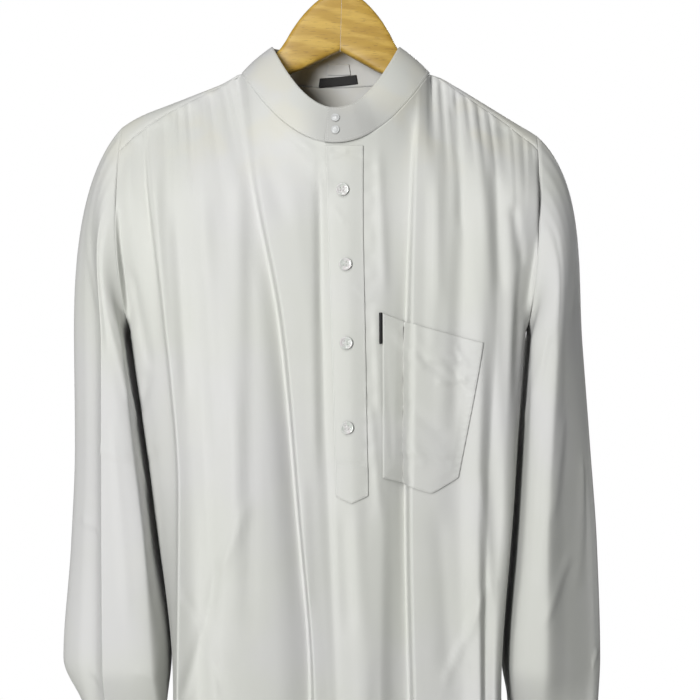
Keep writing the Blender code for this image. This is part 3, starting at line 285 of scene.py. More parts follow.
def shoulder_out(x, below):
    """How far out the cloth stands at x, at a depth below the shoulder's ridge."""
    half = BASE_RING["half"]
    tall_left, tall_right = (UNDERARM_DROP - ARMHOLE[side][4] for side in ("left", "right"))
    return arch_out(np.interp(x, (NECK_X - half, NECK_X + half), (tall_left, tall_right)), below)


def armhole(side, drop):
    """x and out of an armhole's edge at a drop, from the shoulder to the underarm."""
    _, x_top, x_low, bow, top = ARMHOLE[side]
    tall = UNDERARM_DROP - top
    part = np.clip((drop - top) / tall, 0, 1)
    x = x_top + (x_low - x_top) * part + bow * np.sin(math.pi * part)
    return x, arch_out(tall, drop - top)


def side_line(side, drop):
    """x and out of a panel's edge: the armhole above the underarm, the side seam below it."""
    column = 1 if side == "left" else 2
    arm_x, arm_out = armhole(side, drop)
    seam_x = smooth_through(SIDE_SEAM[:, 0], SIDE_SEAM[:, column], drop)
    above = drop < UNDERARM_DROP
    inward = SEAM / 2 if side == "left" else -SEAM / 2
    return np.where(above, arm_x, seam_x) + inward, np.where(above, arm_out, 0.0)


def ring_point(ring, turn):
    """A point of a neck ring; turn is in degrees, 0 at the front, 90 at the viewer's right."""
    angle = np.radians(turn)
    ahead = np.cos(angle)
    x = NECK_X + ring["half"] * np.sin(angle)
    y = np.where(ahead > 0, -ring["front"], -ring["back"]) * ahead
    drop = ring["side"] + np.where(ahead > 0, ring["dip"], ring["nape"]) * ahead ** 2
    return x, y, drop


def front_top(x):
    """Out and drop of the front's top edge: the yoke's seam, or the neck between its two ends."""
    inside = np.clip((x - NECK_X) / BASE_RING["half"], -1, 1)
    _, neck_y, neck_drop = ring_point(BASE_RING, np.degrees(np.arcsin(inside)))
    below = seam_below(x)
    at_neck = np.abs(inside) < 1
    normal = seam_normals(x)
    shoulder = shoulder_out(x, below) + SEAM * normal[:, 2]
    shoulder_drop = ridge_drop(x) + below - SEAM * normal[:, 1]
    out = np.where(at_neck, np.maximum(-neck_y, shoulder), shoulder)
    drop = np.where(at_neck, np.maximum(neck_drop + SEAM, shoulder_drop), shoulder_drop)
    return out, drop


def back_top(x):
    """Out and drop of the back's top edge, which is level, at the foot of the yoke."""
    return yoke_back_out(x), np.full_like(x, BACK_SEAM_DROP + SEAM)


def yoke_back_out(x):
    """How far behind the hanger the yoke's lower edge lies, a little fuller behind the neck."""
    away = shoulder_out(x, BACK_SEAM_DROP - ridge_drop(x))
    return away + NAPE_FULL * np.exp(-((x - NECK_X) / NAPE_SPREAD) ** 2)


def fold_rows(folds, stations, top, drop):
    """x and out of every fold line at each drop; the first and last lines are the seams."""
    count = len(stations)
    xs, outs = [], []
    for row in folds:
        x_top = float(row[1])
        out_top, drop_top = top(np.array([x_top]))
        knots = np.concatenate([drop_top, stations])
        x_values = np.array(row[1:2 + count], float)
        out_values = np.concatenate([out_top, np.array(row[2 + count:2 + 2 * count], float)])
        place = smooth_through(knots, np.stack([x_values, out_values], 1), drop)
        xs.append(place[:, 0])
        outs.append(place[:, 1])
    xs[0], outs[0] = side_line("left", drop)
    xs[-1], outs[-1] = side_line("right", drop)
    return np.array(xs), np.array(outs)


def top_x(folds, u):
    """x at the top edge for a place between fold lines."""
    rows = np.repeat(np.array([[float(row[1])] for row in folds]), len(u), 1)
    return smooth_across(rows, u)


def panel(folds, stations, top, u, drop):
    """x and out of a body panel at places u between its fold lines and at the drops."""
    rows_x, rows_out = fold_rows(folds, stations, top, drop)
    x = smooth_across(rows_x, u)
    out = smooth_across(rows_out, u)
    edge_x = top_x(folds, u)
    edge_out, edge_drop = top(edge_x)
    start_x, start_out = fold_rows(folds, stations, top, edge_drop)
    fade = np.exp(-np.maximum(drop - edge_drop, 0) / TOP_FADE)
    inner = (u > 0.999) & (u < len(folds) - 1.999)
    x = x + np.where(inner, (edge_x - smooth_across(start_x, u)) * fade, 0)
    out = out + np.where(inner, (edge_out - smooth_across(start_out, u)) * fade, 0)
    return x, out


def seam_normals(x):
    """The way out of the cloth along the yoke's front seam."""
    forward = 2 * np.sqrt(seam_below(x) / (2 * SHOULDER_ROUND))
    normal = np.stack([np.zeros_like(x), -forward, np.ones_like(x)], 1)
    return normal / np.linalg.norm(normal, axis=1, keepdims=True)


def surface_normals(points, closed):
    """Unit normals of a grid of points from its two directions; closed wraps the first."""
    if closed:
        along = np.roll(points, -1, 0) - np.roll(points, 1, 0)
    else:
        along = np.gradient(points, axis=0)
    down = np.gradient(points, axis=1)
    normal = np.cross(along, down)
    return normal / np.maximum(np.linalg.norm(normal, axis=2, keepdims=True), 1e-9)


def yoke_point(x, part):
    """A point of the yoke: part runs from its front seam or the neck (0) to its lower back edge (1)."""
    half = BASE_RING["half"]
    inside = np.clip((x - NECK_X) / half, -1, 1)
    at_neck = np.abs(inside) < 1
    turn = 180 - np.degrees(np.arcsin(inside))
    _, neck_y, neck_drop = ring_point(BASE_RING, turn)
    ridge = np.where(at_neck, BASE_RING["side"], ridge_drop(x))
    start_s = np.where(at_neck, 0.0, -np.sqrt(seam_below(x)))
    end_s = np.sqrt(BACK_SEAM_DROP - SEAM / 2 - ridge)
    s = start_s + (end_s - start_s) * part
    arc_y = np.sign(s) * shoulder_out(x, s ** 2)
    arc_drop = ridge + s ** 2
    start_y, end_y = np.sign(start_s) * shoulder_out(x, start_s ** 2), shoulder_out(x, end_s ** 2)
    line_y = start_y + (end_y - start_y) * part
    line_drop = ridge + start_s ** 2 + (end_s ** 2 - start_s ** 2) * part
    deep = np.where(at_neck, 1 - np.abs(inside) ** 6, 0.0)
    first_y = np.where(at_neck, neck_y, start_y)
    first_drop = np.where(at_neck, neck_drop + SEAM, ridge + start_s ** 2)
    last_y = yoke_back_out(x)
    y = first_y + (last_y - first_y) * part + (1 - deep) * (arc_y - line_y)
    last_drop = BACK_SEAM_DROP - SEAM / 2
    drop = first_drop + (last_drop - first_drop) * part + (1 - deep) * (arc_drop - line_drop)
    return y, drop


def sleeve_ring(table, turns, drop):
    """Points of a sleeve at the turns, level at each drop; the lines round it join smoothly."""
    count = len(SLEEVE_DROPS)
    lines = np.array([row[1:] for row in table], float)
    places = np.stack([lines[:, 1:1 + count], lines[:, 1 + count:]], 2)
    down = smooth_through(SLEEVE_DROPS, np.moveaxis(places, 1, 0), np.atleast_1d(drop))
    angle = np.concatenate([lines[-2:, 0] - 360, lines[:, 0], lines[:2, 0] + 360])
    around = np.concatenate([down[:, -2:], down, down[:, :2]], 1)
    ring = smooth_through(angle, np.moveaxis(around, 1, 0), turns)
    height = np.broadcast_to(-np.atleast_1d(drop)[None, :, None], ring.shape[:2] + (1,))
    return np.concatenate([ring, height], 2)


def sleeve_points(side, table, turns, cap_rows, rows):
    """A sleeve from its armhole to its cuff: a cap that turns down, then level rings."""
    way, _, _, _, top = ARMHOLE[side]
    part = (1 - np.cos(np.radians(turns))) / 2
    drop = top + (UNDERARM_DROP - top) * part
    x, out = armhole(side, drop)
    toward = np.where(turns < 180, -1.0, 1.0)
    start = np.stack([x + way * SEAM / 2, toward * out, -drop], 1)
    level = sleeve_ring(table, turns, np.array([SLEEVE_DROPS[0], SLEEVE_DROPS[0] + 20]))
    end = level[:, 0]
    fall = level[:, 1] - level[:, 0]
    fall /= np.linalg.norm(fall, axis=1, keepdims=True)
    reach = np.linalg.norm(end - start, axis=1, keepdims=True)
    away = CAP_AWAY[side] + (CAP_AWAY["underarm"] - CAP_AWAY[side]) * part
    leave = np.stack([way * away,
                      toward * CAP_SPREAD * np.sin(math.pi * part),
                      CAP_FALL[0] + CAP_FALL[1] * part], 1) * reach * CAP_PULL
    t = np.linspace(0, 1, cap_rows + 1)[None, :, None]
    cap = hermite(start[:, None], end[:, None], leave[:, None], (fall * reach)[:, None], t)
    below = np.linspace(0, 1, rows + 1)[1:]
    drops = SLEEVE_DROPS[0] + (SLEEVE_DROPS[-1] - SLEEVE_DROPS[0]) * below
    return np.concatenate([cap, sleeve_ring(table, turns, drops)], 1)


def collar_point(turn, height):
    """A point of the collar: turn round the neck and height from its seam (0) to its top edge (1)."""
    base = np.stack(ring_point(BASE_RING, turn), -1)
    top = np.stack(ring_point(TOP_RING, turn), -1)
    point = base + (top - base) * height[..., None]
    point[..., 2] = -point[..., 2]
    angle = np.radians(turn)
    away = np.stack([np.sin(angle), -np.cos(angle), np.zeros_like(angle)], -1)
    swell = COLLAR_SWELL * 4 * height * (1 - height)
    lap = LAP_OUT * np.clip((LAP_TURNS[1] - turn) / (LAP_TURNS[1] - LAP_TURNS[0]), 0, 1)
    return point + away * (swell + lap)[..., None]


def pocket_edges(x):
    """Drops of the pocket's slanting top and pointed foot at x."""
    (x_left, top_left), (x_right, top_right) = POCKET_TOP_LEFT, POCKET_TOP_RIGHT
    part = np.clip((x - x_left) / (x_right - x_left), 0, 1)
    top = top_left + (top_right - top_left) * part ** POCKET_TOP_BEND
    foot_x, foot_drop = zip(POCKET_LOW_LEFT, POCKET_TIP, POCKET_LOW_RIGHT)
    return top, np.interp(x, foot_x, foot_drop)


def pocket_right(drop):
    """x of the pocket's right edge, which runs in towards its foot."""
    (x_top, top), (x_low, low) = POCKET_TOP_RIGHT, POCKET_LOW_RIGHT
    along = np.clip((drop - top) / (low - top), 0, 1)
    return x_top + (x_low - x_top) * along ** POCKET_SIDE_BEND


def tilt(point):
    """Turns a point of the hanger about the middle of its wood by its small tilt."""
    x, y, z = point[0], point[1], point[2] + TILT_CENTRE_DROP
    c, s = math.cos(HANGER_TILT), math.sin(HANGER_TILT)
    return np.array([c * x + s * z, y, -s * x + c * z - TILT_CENTRE_DROP])


# Gathers under the yoke's front seam
GATHER_LINES = (
    # x at the seam, width, depth, length
    (-210.5, 3.2, 2.4, 150), (-189.4, 3.0, 1.8, 60), (-176.0, 2.4, 1.2, 40), (-163.8, 3.4, 2.2, 90),
    (-151.0, 2.6, 1.3, 45), (-141.8, 3.0, 1.8, 80), (-128.0, 2.6, 1.6, 60), (-119.7, 2.4, 1.6, 55),
    (-113.4, 2.2, 1.5, 60), (99.0, 3.0, 2.4, 60), (110.5, 3.0, 2.0, 90), (124.5, 3.0, 2.0, 110),
    (138.0, 2.4, 1.3, 50), (150.0, 2.6, 1.4, 60), (163.0, 2.6, 1.5, 70), (175.0, 2.4, 1.2, 45),
    (187.0, 2.6, 1.4, 70), (198.0, 2.4, 1.2, 50),
)
FINE_GATHERS = ((-222.0, -104.0), (98.0, 207.0))
GATHER_SCALE = 1.5
CREASE_DEPTH = 1.6
SEAM_GROOVE = 1.5      # how deep the cloth dips at the yoke's seams, and how far from them
SEAM_WIDTH = 2.6

# Creases: soft lines on the cloth. Columns: x0, drop0, x1, drop1, width, height, step
FRONT_CREASES = (
    (-94.5, 607.1, -129.2, 692.1, 6, 1.2, 1.2),
    (-129.2, 676.4, -143.8, 752.0, 6, -1.4, -1.2),
    (-140.7, 737.3, -170.1, 829.7, 6, -1.4, -1.0),
    (-169.1, 707.9, -140.7, 752.0, 4, 0.9, 0.8),
    (-133.3, 768.8, -117.6, 823.4, 5, -1.1, 0.9),
    (153.3, 702.6, 127.1, 765.6, 5, 1.2, 1.2),
    (130.2, 756.2, 105.0, 806.6, 5, 1.2, 1.2),
    (149.1, 703.7, 167.0, 706.9, 3, 0.8, 0.6),
    (87.2, 770.9, 101.9, 774.0, 3, 0.5, 0.4),
    (115.5, 785.6, 138.6, 788.8, 3, 0.6, 0.5),
    (-222.6, 361.4, -199.5, 485.3, 5, -1.8, 1.6),
    (-200.6, 476.9, -216.3, 529.4, 4, -1.4, 1.0),
    (-195.3, 558.8, -215.2, 592.4, 4, -1.2, 0.8),
    (-81.9, 206.0, -10.5, 261.6, 9, 1.1, 0.9),
    (-50.4, 222.8, -10.5, 293.1, 8, 1.0, 0.8),
    (-92.4, 201.8, -52.5, 329.9, 10, -0.9, 0.6),
    (121.8, 185.0, 127.1, 256.4, 4, -1.0, 1.2),
    (126.0, 235.4, 129.2, 332.0, 4, -0.9, 1.0),
    (37.8, 235.4, 46.2, 403.4, 5, 1.0, 0.9),
    (34.6, 403.4, 39.9, 529.4, 4, 0.8, 0.9),
    (32.6, 508.4, 44.1, 634.4, 5, 1.0, -0.9),
    (-21.0, 245.9, -18.9, 445.4, 4, -0.8, 0.8),
    (94.5, 214.4, 102.9, 424.4, 8, 1.0, 0.8),
    (164.8, 256.4, 173.2, 403.4, 7, -1.2, 1.0),
    (183.8, 298.4, 195.3, 369.8, 6, -1.6, 1.4),
    (147.0, 576.6, 158.6, 739.4, 6, 1.2, 1.2),
    (-151.2, 277.4, -132.3, 581.9, 10, 1.2, 0.8),
    (-117.6, 245.9, -105.0, 529.4, 9, -1.0, 0.8),
    (105.0, 613.4, 117.6, 812.9, 10, -1.2, 0.9),
    (-42.0, 581.9, -35.7, 739.4, 7, 0.9, 1.0),
    (5.2, 618.6, 12.6, 760.4, 8, -1.0, 0.8),
    (26.2, 618.6, 33.6, 823.4, 8, 0.9, 0.8),
)
FRONT_STREAKS = (
    (-99, 250, -101, 790, 10, -0.8, -3.0),
    (-155, 330, -134, 800, 9, -0.6, -3.0),
    (-24, 260, -21, 600, 7, -0.6, -2.6),
    (129, 240, 112, 560, 10, -0.6, -3.2),
    (147, 240, 175, 720, 9, 0.6, 3.0),
    (-123, 250, -114, 700, 12, 0.6, 3.0),
    (20, 600, 36, 860, 9, 0.6, -2.4),
    (98, 260, 92, 480, 8, 0.5, 2.4),
    (-178, 300, -164, 520, 7, -0.5, -2.2),
    (-200, 240, -186, 470, 6, 0.8, 2.0),
    (186, 260, 182, 520, 7, -0.6, -2.4),
)
PLACKET_CREASES = (
    (-11.6, 243.8, 27.3, 252.2, 3.0, -0.9, 0.7),
    (-11.6, 254.3, 10.5, 248.0, 3.0, 0.6, 0.5),
    (-9.5, 303.6, 5.2, 324.6, 4, 0.35, 0.3),
    (12.6, 387.6, 27.3, 403.4, 4, 0.35, 0.3),
    (-7.4, 497.9, 10.5, 506.3, 4, 0.3, 0.3),
    (-5.2, 574.6, 27.3, 574.6, 1.6, -0.5, 0.0),
    (-5.2, 578.8, 27.3, 578.8, 1.6, -0.4, 0.0),
)
POCKET_CREASES = (
    (48.3, 434.9, 89.2, 479.0, 6, 0.9, 0.9),
    (84.0, 468.5, 136.5, 468.5, 5, 0.8, 0.9),
    (68.2, 445.4, 126.0, 495.8, 6, -0.9, 0.8),
    (96.6, 491.6, 140.7, 487.4, 5, 0.9, 0.9),
    (105.0, 458.0, 142.8, 508.4, 5, -0.8, 0.7),
    (60.9, 563.0, 120.8, 569.3, 5, 0.8, 0.8),
    (63.0, 503.1, 115.5, 550.4, 8, -0.8, 0.7),
    (117.6, 450.6, 136.5, 476.9, 4, 0.7, 0.7),
    (120.8, 479.0, 142.8, 503.1, 4, 0.7, 0.7),
    (57.8, 529.4, 89.2, 581.9, 6, 0.7, 0.6),
    (46.2, 434.9, 54.6, 581.9, 4, -0.7, 0.7),
)
BACK_CREASES = (
    (-150, 330, -60, 520, 12, 1.2, 0.9), (120, 320, 50, 540, 12, 1.2, 0.9),
    (-60, 300, -20, 480, 10, -1.0, 0.8), (40, 300, 10, 470, 10, -1.0, 0.8),
    (-190, 480, -120, 560, 8, 1.2, 1.0), (170, 470, 110, 570, 8, 1.2, 1.0),
    (-130, 700, -60, 860, 10, 1.2, 0.9), (100, 720, 40, 900, 10, 1.2, 0.9),
    (-80, 940, -10, 1160, 12, 1.2, 0.8),
)
YOKE_CREASES = (
    (-200, 215, -110, 280, 9, -0.8, 0.6), (180, 215, 100, 280, 9, -0.8, 0.6),
    (-60, 190, -20, 280, 10, 0.7, 0.5), (50, 190, 15, 280, 10, 0.7, 0.5),
    (-200, -215, -120, -180, 6, 0.5, 0.4),
)

# Sleeve creases, by the way round (turn in degrees times DEGREE_WIDE) and drop: place 0, place 1, width,
# height, step
LEFT_CREASES = (
    (60, 560, 128, 572, 6, 0.9, 0.8), (20, 640, 62, 652, 5, 0.9, 0.8), (112, 795, 140, 808, 5, 1.0, 0.8),
    (40, 800, 66, 818, 5, 1.0, 0.8), (86, 300, 96, 470, 7, -1.0, 0.9), (100, 420, 134, 520, 7, 1.0, 0.9),
    (30, 330, 60, 420, 7, 0.8, 0.8), (98, 520, 106, 760, 7, 0.9, 0.8), (140, 470, 172, 540, 6, 1.2, 1.0),
    (150, 560, 180, 620, 6, 1.0, 0.9), (300, 430, 330, 640, 8, 1.0, 0.9), (230, 470, 270, 600, 8, 1.0, 0.9),
    (250, 650, 300, 760, 8, 1.0, 0.9),
)
RIGHT_CREASES = (
    (60, 670, 96, 752, 6, 1.3, 1.3), (14, 784, 36, 800, 5, 1.1, 0.9), (86, 300, 92, 460, 7, -1.0, 0.9),
    (104, 430, 132, 520, 7, 1.0, 0.9), (30, 340, 56, 430, 7, 0.8, 0.8), (70, 520, 84, 640, 6, 0.9, 0.9),
    (40, 560, 56, 720, 6, 1.0, 1.0), (140, 470, 170, 540, 6, 1.2, 1.0), (300, 430, 330, 640, 8, 1.0, 0.9),
    (230, 470, 270, 600, 8, 1.0, 0.9), (250, 650, 300, 760, 8, 1.0, 0.9),
)

COLLAR_START_TURN = -6.0
PLACKET_LINES = (12.0, 14.0)   # the front's fold lines that the placket's edges follow, from 0
PLACKET_EDGE_X = 32.0
YOKE_ROUNDS = 60               # how much the yoke is smoothed beside the neck
BRIDGE_ROUNDS = 5              # how much the pocket rounds off the fold under it
POCKET_ROUNDS = 12             # rounds that fit the pocket's grid to its own slanting edges
HALVINGS = 26                  # steps of the search for a place on the front
BUTTON_SPACE = 0.35            # between a button and the placket's nearest point
TOP_STITCH = 1.8               # how far a line of stitches lies in from a piece's edge
EDGE_STITCH = 2.6
HEM_FOLD = 20.0
PLACKET_BARS = (574.6, 578.8)
BUTTONHOLE_HALF = 9.5
BUTTONHOLE_WIDE = 0.9
HOLE_PLACE = 1.6
HOLE_RADIUS = 0.95

# Fineness of the dressed grids
FRONT_FINER = 3                # how much finer across than the solid
BACK_FINER = 4
FINE_FRONT_ROWS = 224
FINE_BACK_ROWS = 150
FRONT_CROWDING = 1.2           # above 1, a panel's rows lie closer together near its top
BACK_CROWDING = 1.1
FINE_NECK_COLUMNS = 61
FINE_YOKE_ROWS = 49
SLEEVE_FINER = 9               # columns from one of its lines to the next
CUFF_FINER = 8
FINE_CUFF_ROWS = 19
FINE_CAP_ROWS = 30
FINE_SLEEVE_ROWS = 110
SLEEVE_MIDDLE = 70             # a row about halfway down a sleeve
FINE_CORNER_COLUMNS = 14       # round the corner of the collar's lap
FINE_COLLAR_COLUMNS = 190
FINE_COLLAR_ROWS = 25
FINE_PLACKET = (41, 181)       # columns, rows
FINE_POCKET = (71, 101)
FINE_TAB = (9, 41)
FINE_LABEL = (41, 15)
HANGER_SIDES = 40
HOOK_SIDES = 20
HOOK_ROWS = 160
DEGREE_WIDE = 1.1              # a degree round a sleeve, taken as this many millimetres
STITCH_VERTS = 12              # vertices of one stitch: four rings of three

# Camera, light and floor, in metres
CAMERA_PLACE = (0.0105, -1.77, -0.4559)
CAMERA_LENS = 83.3
FLOOR_HEIGHT = -1.75
EXPOSURE = 0.0
WORLD_LIGHT = 0.05
DIFFUSE_BOUNCES = 1
LIGHTS = (
    # name, place, aim, width, height, power, colour
    ("key light", (-0.95, -2.4, -0.2), (0.0, 0.0, -0.6), 0.4, 1.2, 48.0, (1.0, 0.998, 0.985)),
    ("top light", (-0.2, -1.2, 0.9), (0.0, 0.0, -0.5), 0.5, 0.5, 6.5, (1.0, 1.0, 1.0)),
    ("back light", (0.7, 2.3, 0.1), (0.0, 0.0, -0.8), 1.0, 1.4, 32.0, (1.0, 1.0, 1.0)),
    ("right light", (1.9, 1.0, -0.1), (0.2, 0.0, -0.8), 0.7, 1.3, 8.0, (1.0, 1.0, 1.0)),
    ("left light", (-2.0, 1.0, -0.1), (-0.2, 0.0, -0.8), 0.7, 1.3, 3.0, (1.0, 1.0, 1.0)),
)


def along_lengths(points, axis):
    """Running lengths of a grid's lines in one direction, averaged over the other, from 0."""
    steps = np.linalg.norm(np.diff(points, axis=axis), axis=2).mean(1 - axis)
    return np.concatenate([[0.0], np.cumsum(steps)])


def make_mesh(name, verts, faces, finish, uv):
    """A mesh object from arrays: vertices in millimetres, faces as index rows, uv in metres per vertex."""
    mesh = bpy.data.meshes.new(name)
    faces = np.asarray(faces)
    mesh.from_pydata((np.asarray(verts, float) * MM).tolist(), [], faces.tolist())
    layer = mesh.uv_layers.new(name="cloth")
    corners = np.empty(len(mesh.loops), int)
    mesh.loops.foreach_get("vertex_index", corners)
    layer.data.foreach_set("uv", np.asarray(uv, float)[corners].ravel())
    return place_piece(mesh, finish)


def column_runs(points):
    """Running lengths down each column of a grid, from 0."""
    steps = np.linalg.norm(np.diff(points, axis=1), axis=2)
    return np.concatenate([np.zeros((len(points), 1)), np.cumsum(steps, 1)], 1)


def place_piece(mesh, finish):
    """An object of the mesh that rides on the body, with its material."""
    mesh.materials.append(finish)
    mesh.shade_smooth()
    thing = bpy.data.objects.new(mesh.name, mesh)
    bpy.context.scene.collection.objects.link(thing)
    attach(thing, "root")
    return thing


def grid_faces(across, down, closed_across=False):
    """Quads of a grid whose vertices run down each column in turn."""
    i = np.arange(across if closed_across else across - 1)
    j = (i + 1) % across
    k = np.arange(down - 1)
    a = (i[:, None] * down + k).ravel()
    b = (j[:, None] * down + k).ravel()
    return np.stack([a, a + 1, b + 1, b], 1)


def shell(name, points, normal, thick, closed, finish):
    """A thin closed shell: a grid of outer points, its inner points moved in by the thickness, and a
    rounded edge, whose middle line stands out by a third of the thickness."""
    across, down = points.shape[:2]
    count = across * down
    inner = points - thick * normal
    middle = points - thick / 2 * normal
    edge_index = border_indices(across, down, closed)
    outward = border_outward(points, closed)
    rims = [middle.reshape(-1, 3)[line] + away * thick / 3 for line, away in zip(edge_index, outward)]
    verts = np.concatenate([points.reshape(-1, 3), inner.reshape(-1, 3)] + rims)
    outer_faces = grid_faces(across, down, closed)
    inner_faces = outer_faces[:, ::-1] + count
    faces = [outer_faces, inner_faces]
    start = 2 * count
    for line in edge_index:
        n = len(line)
        here, there = np.arange(n), (np.arange(n) + 1) % n
        faces.append(np.stack([line[here], start + here, start + there, line[there]], 1))
        faces.append(np.stack([start + here, line[here] + count, line[there] + count, start + there], 1))
        start += n
    faces = np.concatenate(faces)
    if facing_in(points, normal):
        faces = faces[:, ::-1]
    u = along_lengths(points, 0) * MM
    v = along_lengths(points, 1) * MM
    uv = np.stack(np.meshgrid(u, v, indexing="ij"), 2).reshape(-1, 2)
    rim_uv = [uv[line] for line in edge_index]
    return make_mesh(name, verts, faces, finish, np.concatenate([uv, uv] + rim_uv))


def dressed(name, points, normal, thick, finish, closed=False):
    """A white cloth piece, with the grid and normals that its stitching follows."""
    return shell(name, points, normal, thick, closed, finish), points, normal


def facing_in(points, normal):
    """True where the grid's own winding faces against its normals."""
    c, r = points.shape[0] // 2, points.shape[1] // 2
    a, b, d = points[c, r], points[c, r + 1], points[c + 1, r]
    return float(np.dot(np.cross(b - a, d - a), normal[c, r])) < 0


def border_indices(across, down, closed):
    """Closed loops of vertex indices round a grid's border; a closed grid has two, top and foot."""
    index = np.arange(across * down).reshape(across, down)
    if closed:
        return [index[::-1, 0], index[:, -1]]
    return [np.concatenate([index[0, :-1], index[:-1, -1], index[-1, :0:-1], index[:0:-1, 0]])]


def border_outward(points, closed):
    """Unit directions away from the cloth along its border."""
    down = np.gradient(points, axis=1)
    across = np.gradient(points, axis=0)
    if closed:
        ways = [-down[::-1, 0], down[:, -1]]
    else:
        ways = [np.concatenate([-across[0, :-1], down[:-1, -1], across[-1, :0:-1], -down[:0:-1, 0]])]
    return [way / np.maximum(np.linalg.norm(way, axis=1, keepdims=True), 1e-9) for way in ways]


def fine_columns(folds, finer):
    """Places u of a panel's fine columns, closer together where its fold lines are."""
    places = [line + np.arange(row[-1] * finer) / (row[-1] * finer) for line, row in enumerate(folds[:-1])]
    return np.concatenate(places + [[len(folds) - 1.0]])


def crease(x, drop, rows):
    """Soft ridges and troughs along straight lines. Each adds height * exp(-q * q) for a ridge (or a
    trough, below nothing) and step * q * exp(-q * q) for a fold lit on one side, where q is the distance
    from its line over its width; the ends fade out over a fifth of its length."""
    total = np.zeros(np.shape(x))
    for x0, drop0, x1, drop1, width, height, step in rows:
        length = math.hypot(x1 - x0, drop1 - drop0)
        along = ((x - x0) * (x1 - x0) + (drop - drop0) * (drop1 - drop0)) / length ** 2
        across = ((x - x0) * (drop1 - drop0) - (drop - drop0) * (x1 - x0)) / length / width
        ends = np.clip(along / 0.2, 0, 1) * np.clip((1 - along) / 0.2, 0, 1)
        ends = ends * ends * (3 - 2 * ends)
        bell = np.exp(-across ** 2)
        total = total + (height + step * across) * bell * ends
    return total


def seam_gathers(edge_x, below):
    """Gathers under the yoke's front seam: narrow troughs that start at the seam, follow the cloth down
    and fade, a row of the table each, with fine ones between them."""
    total = np.zeros(np.shape(edge_x))
    for x, width, depth, length in GATHER_LINES:
        bell = np.exp(-((edge_x - x) / width) ** 2)
        fall = (1 - np.exp(-below / 5.0)) * np.exp(-(below / length) ** 2)
        total = total - GATHER_SCALE * depth * bell * fall
    for first, last in FINE_GATHERS:
        within = np.clip((edge_x - first) / 10, 0, 1) * np.clip((last - edge_x) / 10, 0, 1)
        wave = np.sin(edge_x * 0.62 + 1.4 * np.sin(edge_x * 0.11)) + 0.5 * np.sin(edge_x * 1.37 + 2.0)
        total = total + 0.8 * wave * within * (1 - np.exp(-below / 4.0)) * np.exp(-below / 30.0)
    return total


def front_place(u, drop):
    """A point of the dressed front: the panel with its gathers, creases and the placket's pull."""
    x, out = panel(FRONT_FOLDS, FRONT_STATIONS, front_top, u, drop)
    edge_x = top_x(FRONT_FOLDS, u)
    _, edge_drop = front_top(edge_x)
    below = np.maximum(drop - edge_drop, 0)
    fade = np.clip(below / 12.0, 0, 1)
    edge = np.clip(u, 0, 1) * np.clip(len(FRONT_FOLDS) - 1 - u, 0, 1)
    soft = crease(x, drop, FRONT_CREASES) * CREASE_DEPTH + crease(x, drop, FRONT_STREAKS)
    out = out + (seam_gathers(edge_x, below) + soft * fade) * edge
    at_seam = np.abs(edge_x - NECK_X) > BASE_RING["half"]
    out = out - SEAM_GROOVE * np.exp(-(below / SEAM_WIDTH) ** 2) * edge * at_seam
    return x, out + placket_pull(x, drop) * fade


def placket_pull(x, drop):
    """Small puckers beside the placket's right edge: a short wave down, fading out away from it."""
    away = (x - PLACKET_EDGE_X) / 5.0
    wave = np.sin(drop * 0.21 + 1.8 * np.sin(drop * 0.047)) + 0.6 * np.sin(drop * 0.47 + 1.0)
    span = np.clip((drop - 245) / 30, 0, 1) * np.clip((PLACKET_SHOULDER + 20 - drop) / 40, 0, 1)
    return 0.8 * wave * np.exp(-away ** 2) * span


def outward_normals(points, closed, way):
    """Unit normals of a grid, turned so that the middle one looks along way."""
    normal = surface_normals(points, closed)
    c, r = points.shape[0] // 2, points.shape[1] // 2
    return normal * np.sign(np.dot(normal[c, r], way))


def panel_grid(top, rows, power):
    """Drops down each column from its top edge to the hem, closer together near the top."""
    part = np.linspace(0, 1, rows + 1) ** power
    return top[:, None] + (HEM_DROP - top[:, None]) * part


def make_panel_cloth(name, folds, place, top, finer, rows, power, way, finish):
    """A dressed body panel: its columns from the top edge to the hem, its side edges kept on its own
    side of the seam. way is -1 for the front and 1 for the back."""
    u = fine_columns(folds, finer)
    _, top_drop = top(top_x(folds, u))
    drops = panel_grid(top_drop, rows, power)
    u_grid = np.broadcast_to(u[:, None], drops.shape)
    x, out = place(u_grid.ravel(), drops.ravel())
    points = np.stack([x.reshape(drops.shape), way * out.reshape(drops.shape), -drops], 2)
    points[[0, -1], :, 1] = way * np.maximum(way * points[[0, -1], :, 1], SEAM / 2)
    return dressed(name, points, outward_normals(points, False, (0, way, 0)), CLOTH, finish)


def make_front_cloth(finish):
    """The front on finer columns than its solid."""
    return make_panel_cloth("front_cloth", FRONT_FOLDS, front_place, front_top, FRONT_FINER,
                            FINE_FRONT_ROWS, FRONT_CROWDING, -1, finish)


def back_place(u, drop):
    """A point of the dressed back, with soft creases like those of the front."""
    x, out = panel(BACK_FOLDS, BACK_STATIONS, back_top, u, drop)
    fade = np.clip((drop - BACK_SEAM_DROP) / 15.0, 0, 1)
    edge = np.clip(u, 0, 1) * np.clip(len(BACK_FOLDS) - 1 - u, 0, 1)
    return x, out + crease(x, drop, BACK_CREASES) * fade * edge


def make_back_cloth(finish):
    """The back on finer columns than its solid."""
    return make_panel_cloth("back_cloth", BACK_FOLDS, back_place, back_top, BACK_FINER,
                            FINE_BACK_ROWS, BACK_CROWDING, 1, finish)


